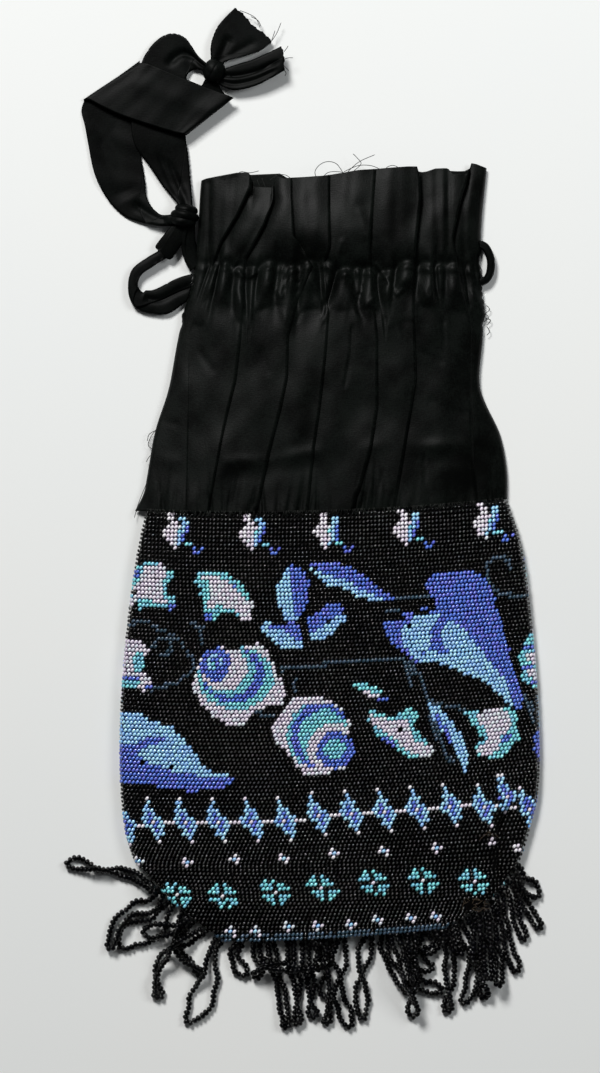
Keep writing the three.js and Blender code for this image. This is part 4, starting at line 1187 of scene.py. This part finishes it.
def makeKnot(name, middle, half, tilt, turns, groove):
    bpy.ops.object.select_all(action="DESELECT")
    segments, rings = ribbon["knotGrid"]
    bpy.ops.mesh.primitive_uv_sphere_add(segments=segments, ring_count=rings, radius=1, location=(0, 0, 0))
    lump = bpy.context.object
    lump.name = name.replace("ribbon_", "satinRibbon_")
    lump.data.name = lump.name
    points = readPoints(lump)
    x, y, z = points.T
    tilt = math.radians(tilt)
    down = -x * math.sin(tilt) + y * math.cos(tilt)
    ridge = np.abs(np.sin(math.pi * turns * (down * 0.5 + 0.5) + 0.35 * x - 0.2))
    soft = ripple(x * 5, y * 5 + z * 3, ribbon["knotRipple"], ribbon["knotSeed"])
    swell = 1.02 - groove + groove * ridge ** 0.5 + soft
    writePoints(lump, points * swell[:, None] * half + middle)
    bpy.ops.object.shade_smooth()
    settle(lump, cloths["blackRibbon"], name)


for name, stations in ribbon["runs"].items():
    makeRibbon(name, stations)
for name, knot in ribbon["knots"].items():
    makeKnot(name, *knot)
print("ribbon made")


# loose threads

frays = {
    "radius": 0.13, "sides": 4, "tip": 0.4,
    # height above the table, then the thread's way in chart steps
    "satin": [
        (7, "317 180 315 172 320 165 328 162 336 164 341 170 343 174"),
        (7, "322 178 328 173 336 172 344 173"), (6.5, "346 174 353 167 361 161 375 155"),
        (6, "354 171 361 164 357 158 353 154"), (6.5, "344 172 358 166 371 166 381 170"),
        (7, "384 171 388 167 394 166 400 169"), (4, "270 180 277 175 286 175 294 181"),
        (4, "274 178 283 178 291 181 297 181"), (3.5, "278 174 287 178 292 182"),
        (5, "257 180 262 190 270 197"), (5, "262 178 266 188 274 193"),
        (6, "236 176 241 172 250 173 259 171"), (6, "224 180 230 175 238 174"),
        (7, "392 170 404 168 412 171 418 170"), (2, "157 428 151 436 148 445 153 451 148 458 146 462"),
        (2, "156 430 149 434 147 441"), (1.6, "487 305 490 309 486 313"), (1.6, "484 312 489 317 485 321"),
        (1.6, "486 318 491 320 487 325"), (1.6, "487 326 490 331 487 335"),
        (2.2, "146 484 141 496 137 507 134 518"), (2.0, "147 488 142 499 138 509"),
        (2.0, "145 494 140 503 136 512"), (2.2, "148 490 145 500 143 508"),
    ],
    "ribbon": [
        (3, "240 10 248 13 256 18 260 27"), (3, "251 16 258 20 261 26"), (3, "272 40 277 32 281 22"),
        (3, "270 44 273 36 275 30"), (5.4, "283 60 288 58 293 58"), (5.4, "284 52 287 48 288 46"),
        (5.4, "284 66 287 69 289 71"), (5.4, "284 70 286 73 285 76"),
    ],
    "rim": {"count": 260, "long": (1.0, 2.6), "lean": 0.8, "above": 0.8},
    "tangle": {"long": (4, 9), "bend": 2, "lift": (-0.3, 0.4)},  # short bent threads
    # tangles: how many threads, from where to where, and their height
    "bare": (15, (462, 898), (488, 911), 8.0), "groove": (5, (483, 830), (496, 840), 9.2),
}


def threadMesh(lines):  # thin round threads along smooth lines
    points, faces = [], []
    n = frays["sides"]
    for line in lines:
        way = smoothColumns(line, np.linspace(0, len(line) - 1, 6 * (len(line) - 1) + 1))
        tangent = unit(np.gradient(way, axis=0))
        sideways = unit(np.cross(tangent, (0, 0, 1.0)))
        upward = np.cross(sideways, tangent)
        start, last = len(points), len(way) - 1
        for k in range(len(way)):
            thin = frays["radius"] * (1 if k < last else frays["tip"])
            for s in range(n):
                angle = 2 * math.pi * s / n
                points.append(way[k] + thin * (math.cos(angle) * sideways[k] + math.sin(angle) * upward[k]))
        for k in range(last):
            for s in range(n):
                a, b = start + k * n + s, start + k * n + (s + 1) % n
                faces.append((a, b, b + n, a + n))
        faces.append(tuple(start + s for s in reversed(range(n))))
        faces.append(tuple(start + last * n + s for s in range(n)))
    return np.array(points), faces


def chartThread(height, spots):
    return np.column_stack([fromChart(spots), np.full(len(spots), height)])


def chartedThreads(key):
    return [chartThread(height, numbers(text)) for height, text in frays[key]]


def tangle(count, first, last, height):
    lines = []
    for _ in range(count):
        middle = rng.uniform(first, last)
        angle, long = rng.uniform(0, math.pi), rng.uniform(*frays["tangle"]["long"])
        turn = rng.normal(0, frays["tangle"]["bend"], (3, 2))
        reach = (math.cos(angle) * long, math.sin(angle) * long * 0.5)
        line = chartThread(height, middle + np.outer((-0.5, 0, 0.5), reach) + turn)
        line[:, 2] += rng.uniform(*frays["tangle"]["lift"], 3)
        lines.append(line)
    return lines


def rimThreads():  # the satin's raw edge over the first beads
    leftX, leftY, rightX, rightY, dip, crown = satin["rows"][0]
    lines = []
    for _ in range(frays["rim"]["count"]):
        share = rng.uniform(-0.98, 0.98)
        x = (leftX + rightX) / 2 + share * (rightX - leftX) / 2
        y = (leftY + rightY) / 2 + share * (rightY - leftY) / 2 - dip * (1 - share ** 2)
        y += frays["rim"]["above"]
        z = pouch["edgeHeight"] + (crown - pouch["edgeHeight"]) * (1 - share ** 4) + 0.2
        long, lean = rng.uniform(*frays["rim"]["long"]), rng.normal(0, frays["rim"]["lean"])
        bend = (x + 0.4 * lean, y - 0.5 * long, z + 0.25)
        lines.append(np.array([(x, y, z), bend, (x + lean, y - long, z + 0.05)]))
    return lines


def makeFrays():
    made = {
        "satinFrays": (chartedThreads("satin") + rimThreads(), "frayThread", "satin"),
        "ribbonFrays": (chartedThreads("ribbon"), "frayThread", "ribbon"),
        "knittingThread": (tangle(*frays["bare"]) + tangle(*frays["groove"]), "brownThread", "bead_knit"),
    }
    for name, (lines, thread, slot) in made.items():
        settle(meshPiece(name, *threadMesh(lines)), cloths[thread])


makeFrays()
print("loose threads made")


# fringe of bead loops

fringe = {
    "bead": 1.36, "half": 0.95, "pitch": 1.84, "narrow": 2.6, "step": 0.8, "slope": 0.5,
    "sway": 0.45, "swayLong": 2.6, "swayShort": 1.3,
    "rootHeight": 2.4, "rootGap": 0.2, "rootRun": 1.8, "calm": 6, "room": 0.97, "sides": 8,
    "profile": [(-0.99, 0.36), (-0.66, 0.8), (0.0, 1.0), (0.66, 0.8), (0.99, 0.36)],  # of one bead
    "sizes": (0.94, 1.04), "shift": 0.03, "turn": 0.08, "reach": 0.6,
    # where a loop leaves the pouch, then x, y and the distance between its legs; 0 is where the legs cross
    "loops": [
        "-53.5 -154 / -58 -161 6 / -62.5 -164.5 9 / -69 -166.5 9 / -72 -169.5 6 / -75 -172.5 3",
        "-57.5 -150 / -62 -155 4.4 / -68 -156 4.4 / -74.5 -161 3.4 / -76 -166 3 / -78.5 -173 2.6",
        "-59 -146 / -66.5 -143 2.2 / -73 -141.5 2.2 / -83 -139.5 0 / -90 -138 4.9 / -96.4 -137.5 3",
        "-47.5 -158 / -50.5 -163.5 3 / -56.5 -164 4 / -61.5 -165 5 / -66 -165 3",
        "-45 -160 / -51 -167 2.2 / -49.5 -173.5 2.2 / -45 -178 0 / -41 -183 2.2",
        "-40 -163.5 / -47.5 -168.5 2.2 / -53 -171.5 0 / -58.5 -178.5 2.2 / -59 -184 0 / -58 -193 3.4",
        "-34 -168 / -36 -172 2.2 / -37.5 -177.5 2.4 / -38 -184 7 / -42 -194 8.4 / -47.5 -202.5 3.6",
        "-26 -169.5 / -28.5 -173 2.2 / -27.5 -176 2.4 / -25.5 -179.5 4.8 / -22 -183.5 3",
        "-19 -169.5 / -19.5 -172.5 2.2 / -18.5 -175.5 2.2 / -15 -178.5 2.2",
        "-13.5 -169 / -12 -177 2.2 / -9.5 -188 2.2 / -7.5 -198 2.2 / -7 -205 2.2",
        "-5.5 -169 / -5 -177 2.6 / -3 -186 2.4 / -2.5 -193.5 0 / -2.5 -199 2.6 / -3 -203.5 2.4",
        "0.5 -168.5 / 1 -177 2.4 / 2.5 -186 2.4 / 3 -193 0 / 3.5 -197 3.7 / 3.5 -201 3",
        "9.5 -168 / 8.5 -172.5 4 / 9 -181 0 / 8.5 -188 3.6 / 10 -193 0 / 9 -203.5 2.6",
        "15 -168 / 14.5 -175.5 5.6 / 14.5 -183 0 / 14 -188.5 3 / 16 -197 5 / 19 -204.5 3.2",
        ("4.8 -168 / 7 -173 2.2 / 5.5 -178.5 2.4 / -0.5 -179.5 0 / -7.5 -179 3.4 / -14.5 -178.5 0 / "
         "-21 -184 2.8"),
        "25.5 -166.5 / 24 -175.5 5.4 / 23 -182.5 0 / 23 -187.5 4.6 / 23.5 -201.5 2.4",
        "39.6 -166 / 43 -178 2.2 / 46.5 -186 4 / 51.5 -187.5 5 / 56.5 -189 3.2",
        "46.4 -165.4 / 45 -172 2.2 / 47 -178 4 / 53 -180 3",
        "51 -164.8 / 53 -169.5 2.2 / 51 -172.5 2.2 / 46.5 -172 2.2",
        "32.4 -166.2 / 32.5 -173 2.4 / 35.5 -179.5 2.2 / 40 -186 2.2 / 43 -191 2.2",
        "43 -165.6 / 43 -174 2.2 / 44 -181 2.2 / 45 -188 2.2",
        "36.2 -166 / 39 -176 2.2 / 42.5 -186 2.2 / 43 -190.5 0 / 43.5 -195.5 4 / 44 -200.5 3",
        "57.5 -163 / 59 -168.5 2.2 / 61 -172 2.2 / 65 -174 2.2",
        "54.2 -164 / 57 -169.5 2.2 / 58.5 -175 2.4 / 58.5 -183 4.4 / 58 -189 0 / 57.5 -198.5 3.6",
        "61.5 -161 / 64 -167 2.2 / 67 -173 2.4 / 67.5 -180 3 / 66.5 -188 4.4 / 63 -195 3",
        "66.5 -158.5 / 69 -166 2.2 / 69.5 -178 2.4 / 71 -184 0 / 72 -189 3.4 / 72.5 -193 3",
        "70 -155.5 / 72.5 -166 2.2 / 73.5 -176 2.2 / 74.5 -185 2.2",
        "73.5 -153 / 76 -167 2.4 / 78 -178 2.6 / 78 -187.5 2.6",
        "77 -149.5 / 80.5 -165 2.2 / 82.5 -172 3.4 / 84.5 -178 3.6 / 85.5 -182.5 2.8",
        "80.5 -145.5 / 85 -157.5 2.2 / 86.5 -163.5 3 / 89 -169.5 2.6",
        "83.5 -141.5 / 87.5 -152.5 2.2 / 91 -157.5 2.2 / 95.5 -165 2.2",
        "84.6 -139.4 / 87 -143.4 3 / 90.2 -146.8 5.6 / 95 -152 3.4",
    ],
}


def pouchLowerEdge():
    rows = np.array(pouch["rows"][7:])
    leftX, leftY, rightX, rightY, dip, _ = rows[-1]
    share = np.array([0.25, 0.5, 0.75])
    sag = dip * (1 - (2 * share - 1) ** 2)
    bottom = np.column_stack([leftX + (rightX - leftX) * share, leftY + (rightY - leftY) * share - sag])
    return np.vstack([rows[:, :2], bottom, rows[::-1, 2:4]])


def nearestEdge(root, edge):  # the nearest spot on the pouch's edge, and the way out from it
    best = None
    for a, b in zip(edge[:-1], edge[1:]):
        run = b - a
        spot = a + np.clip((root - a) @ run / (run @ run), 0, 1) * run
        apart = np.linalg.norm(spot - root)
        if best is None or apart < best[0]:
            best = (apart, spot, np.array([run[1], -run[0]]) / np.linalg.norm(run))
    return best[1:]


def loopLegs(text, edge):
    parts = [np.array(part.split(), float) for part in text.split("/")]
    root, stations = parts[0], np.array(parts[1:])
    spot, outward = nearestEdge(root, edge)
    crossing = stations[:, 2] == 0
    swapped = np.where(np.cumsum(crossing) % 2 == 0, 1, -1)
    apart = np.where(crossing, 0, np.maximum(stations[:, 2], fringe["narrow"]) * swapped)
    stations = np.column_stack([stations[:, :2], apart])
    inward = stations[-2, :2] - stations[-1, :2]
    inward /= np.linalg.norm(inward)
    stations[-1, :2] += inward * (abs(apart[-1]) / 2 + fringe["bead"])
    start = spot + outward * fringe["rootGap"]
    clear = start + outward * fringe["rootRun"]
    spine = np.vstack([[*start, fringe["narrow"]], [*clear, fringe["narrow"]], stations])
    line = smoothColumns(spine, np.linspace(0, len(spine) - 1, 24 * len(spine)))
    length = lengthAlong(line[:, :2])
    even = np.linspace(0, length[-1], max(8, int(length[-1] / fringe["step"])))
    line = readAlong(line, length, even)
    tangent = unit(np.gradient(line[:, :2], axis=0))
    sideways = np.column_stack([-tangent[:, 1], tangent[:, 0]])
    calm = np.clip(np.minimum(even, length[-1] - even) / fringe["calm"], 0, 1)
    legs = []
    for side, phase in zip((1, -1), root):
        sway = np.sin(even / fringe["swayLong"] + phase)  # no strand is quite straight
        sway = fringe["sway"] * calm * (sway + 0.6 * np.sin(even / fringe["swayShort"] + 2 * phase))
        legs.append(line[:, :2] + sideways * (side * line[:, 2] / 2 + sway)[:, None])
    middle = (legs[0][-1] + legs[1][-1]) / 2
    reach = legs[0][-1] - middle
    onward = tangent[-1] * np.linalg.norm(reach)
    angles = np.linspace(0.3, math.pi - 0.3, 5)
    turn = np.array([middle + reach * math.cos(angle) + onward * math.sin(angle) for angle in angles])
    return np.vstack([legs[0], turn]), legs[1][::-1]


def layLine(path, under, firstHeight, lastHeight):  # a strand rests on the table or on what lies there
    room = 2 * fringe["bead"] * fringe["room"]
    height = np.full(len(path), fringe["bead"])
    if len(under):
        apart = np.linalg.norm(path[:, None, :] - under[None, :, :2], axis=2)
        over = under[None, :, 2] + np.sqrt(np.clip(room ** 2 - apart ** 2, 0, None))
        height = np.maximum(height, np.where(apart < room, over, 0).max(axis=1))
    height[0], height[-1] = max(height[0], firstHeight), max(height[-1], lastHeight)
    fall = fringe["slope"] * np.linalg.norm(np.diff(path, axis=0), axis=1)
    for i in range(1, len(path)):
        height[i] = max(height[i], height[i - 1] - fall[i - 1])
    for i in range(len(path) - 2, -1, -1):
        height[i] = max(height[i], height[i + 1] - fall[i])
    return np.column_stack([path, height])


def strungShape():
    sides, profile = fringe["sides"], fringe["profile"]
    points = []
    for a, r in profile:
        for t in 2 * math.pi * np.arange(sides) / sides:
            wide = fringe["bead"] * r
            points.append((fringe["half"] * a, wide * math.cos(t), wide * math.sin(t)))
    faces = []
    for ring in range(len(profile) - 1):
        near, far = ring * sides, (ring + 1) * sides
        for k in range(sides):
            following = (k + 1) % sides
            faces.append((near + k, near + following, far + following, far + k))
    faces.append(tuple(reversed(range(sides))))
    faces.append(tuple((len(profile) - 1) * sides + k for k in range(sides)))
    return np.array(points), faces


def makeFringe():
    edge = pouchLowerEdge()
    shape = strungShape()
    laid = np.empty((0, 3))
    total = 0
    for number, text in enumerate(fringe["loops"], 1):
        out, back = loopLegs(text, edge)
        first = layLine(out, laid, fringe["rootHeight"], 0)
        second = layLine(back, np.vstack([laid, first[:-7]]), first[-1, 2], fringe["rootHeight"])
        line = np.vstack([first, second])
        laid = np.vstack([laid, line])
        length = lengthAlong(line)
        count = int(length[-1] / fringe["pitch"])
        s = (np.arange(count) + 0.5) * length[-1] / count
        places = readAlong(line, length, s) + rng.normal(0, fringe["shift"], (count, 3))
        ahead = readAlong(line, length, np.minimum(s + fringe["reach"], length[-1]))
        along = ahead - readAlong(line, length, np.maximum(s - fringe["reach"], 0))
        along = unit(along + rng.normal(0, fringe["turn"], (count, 3)))
        upward = unit(np.array([0, 0, 1.0]) - along * along[:, 2:3])
        sized = rng.uniform(*fringe["sizes"], (count, 1))
        tones = rng.random(count)
        piece = beadField("beadLoop_%02d" % number, shape, places, upward * sized, along * sized, tones)
        settle(piece, glassColours["jet"], "fringe_loop_%02d" % number)
        total += count
    print("fringe:", total, "beads on", len(fringe["loops"]), "loops")


makeFringe()
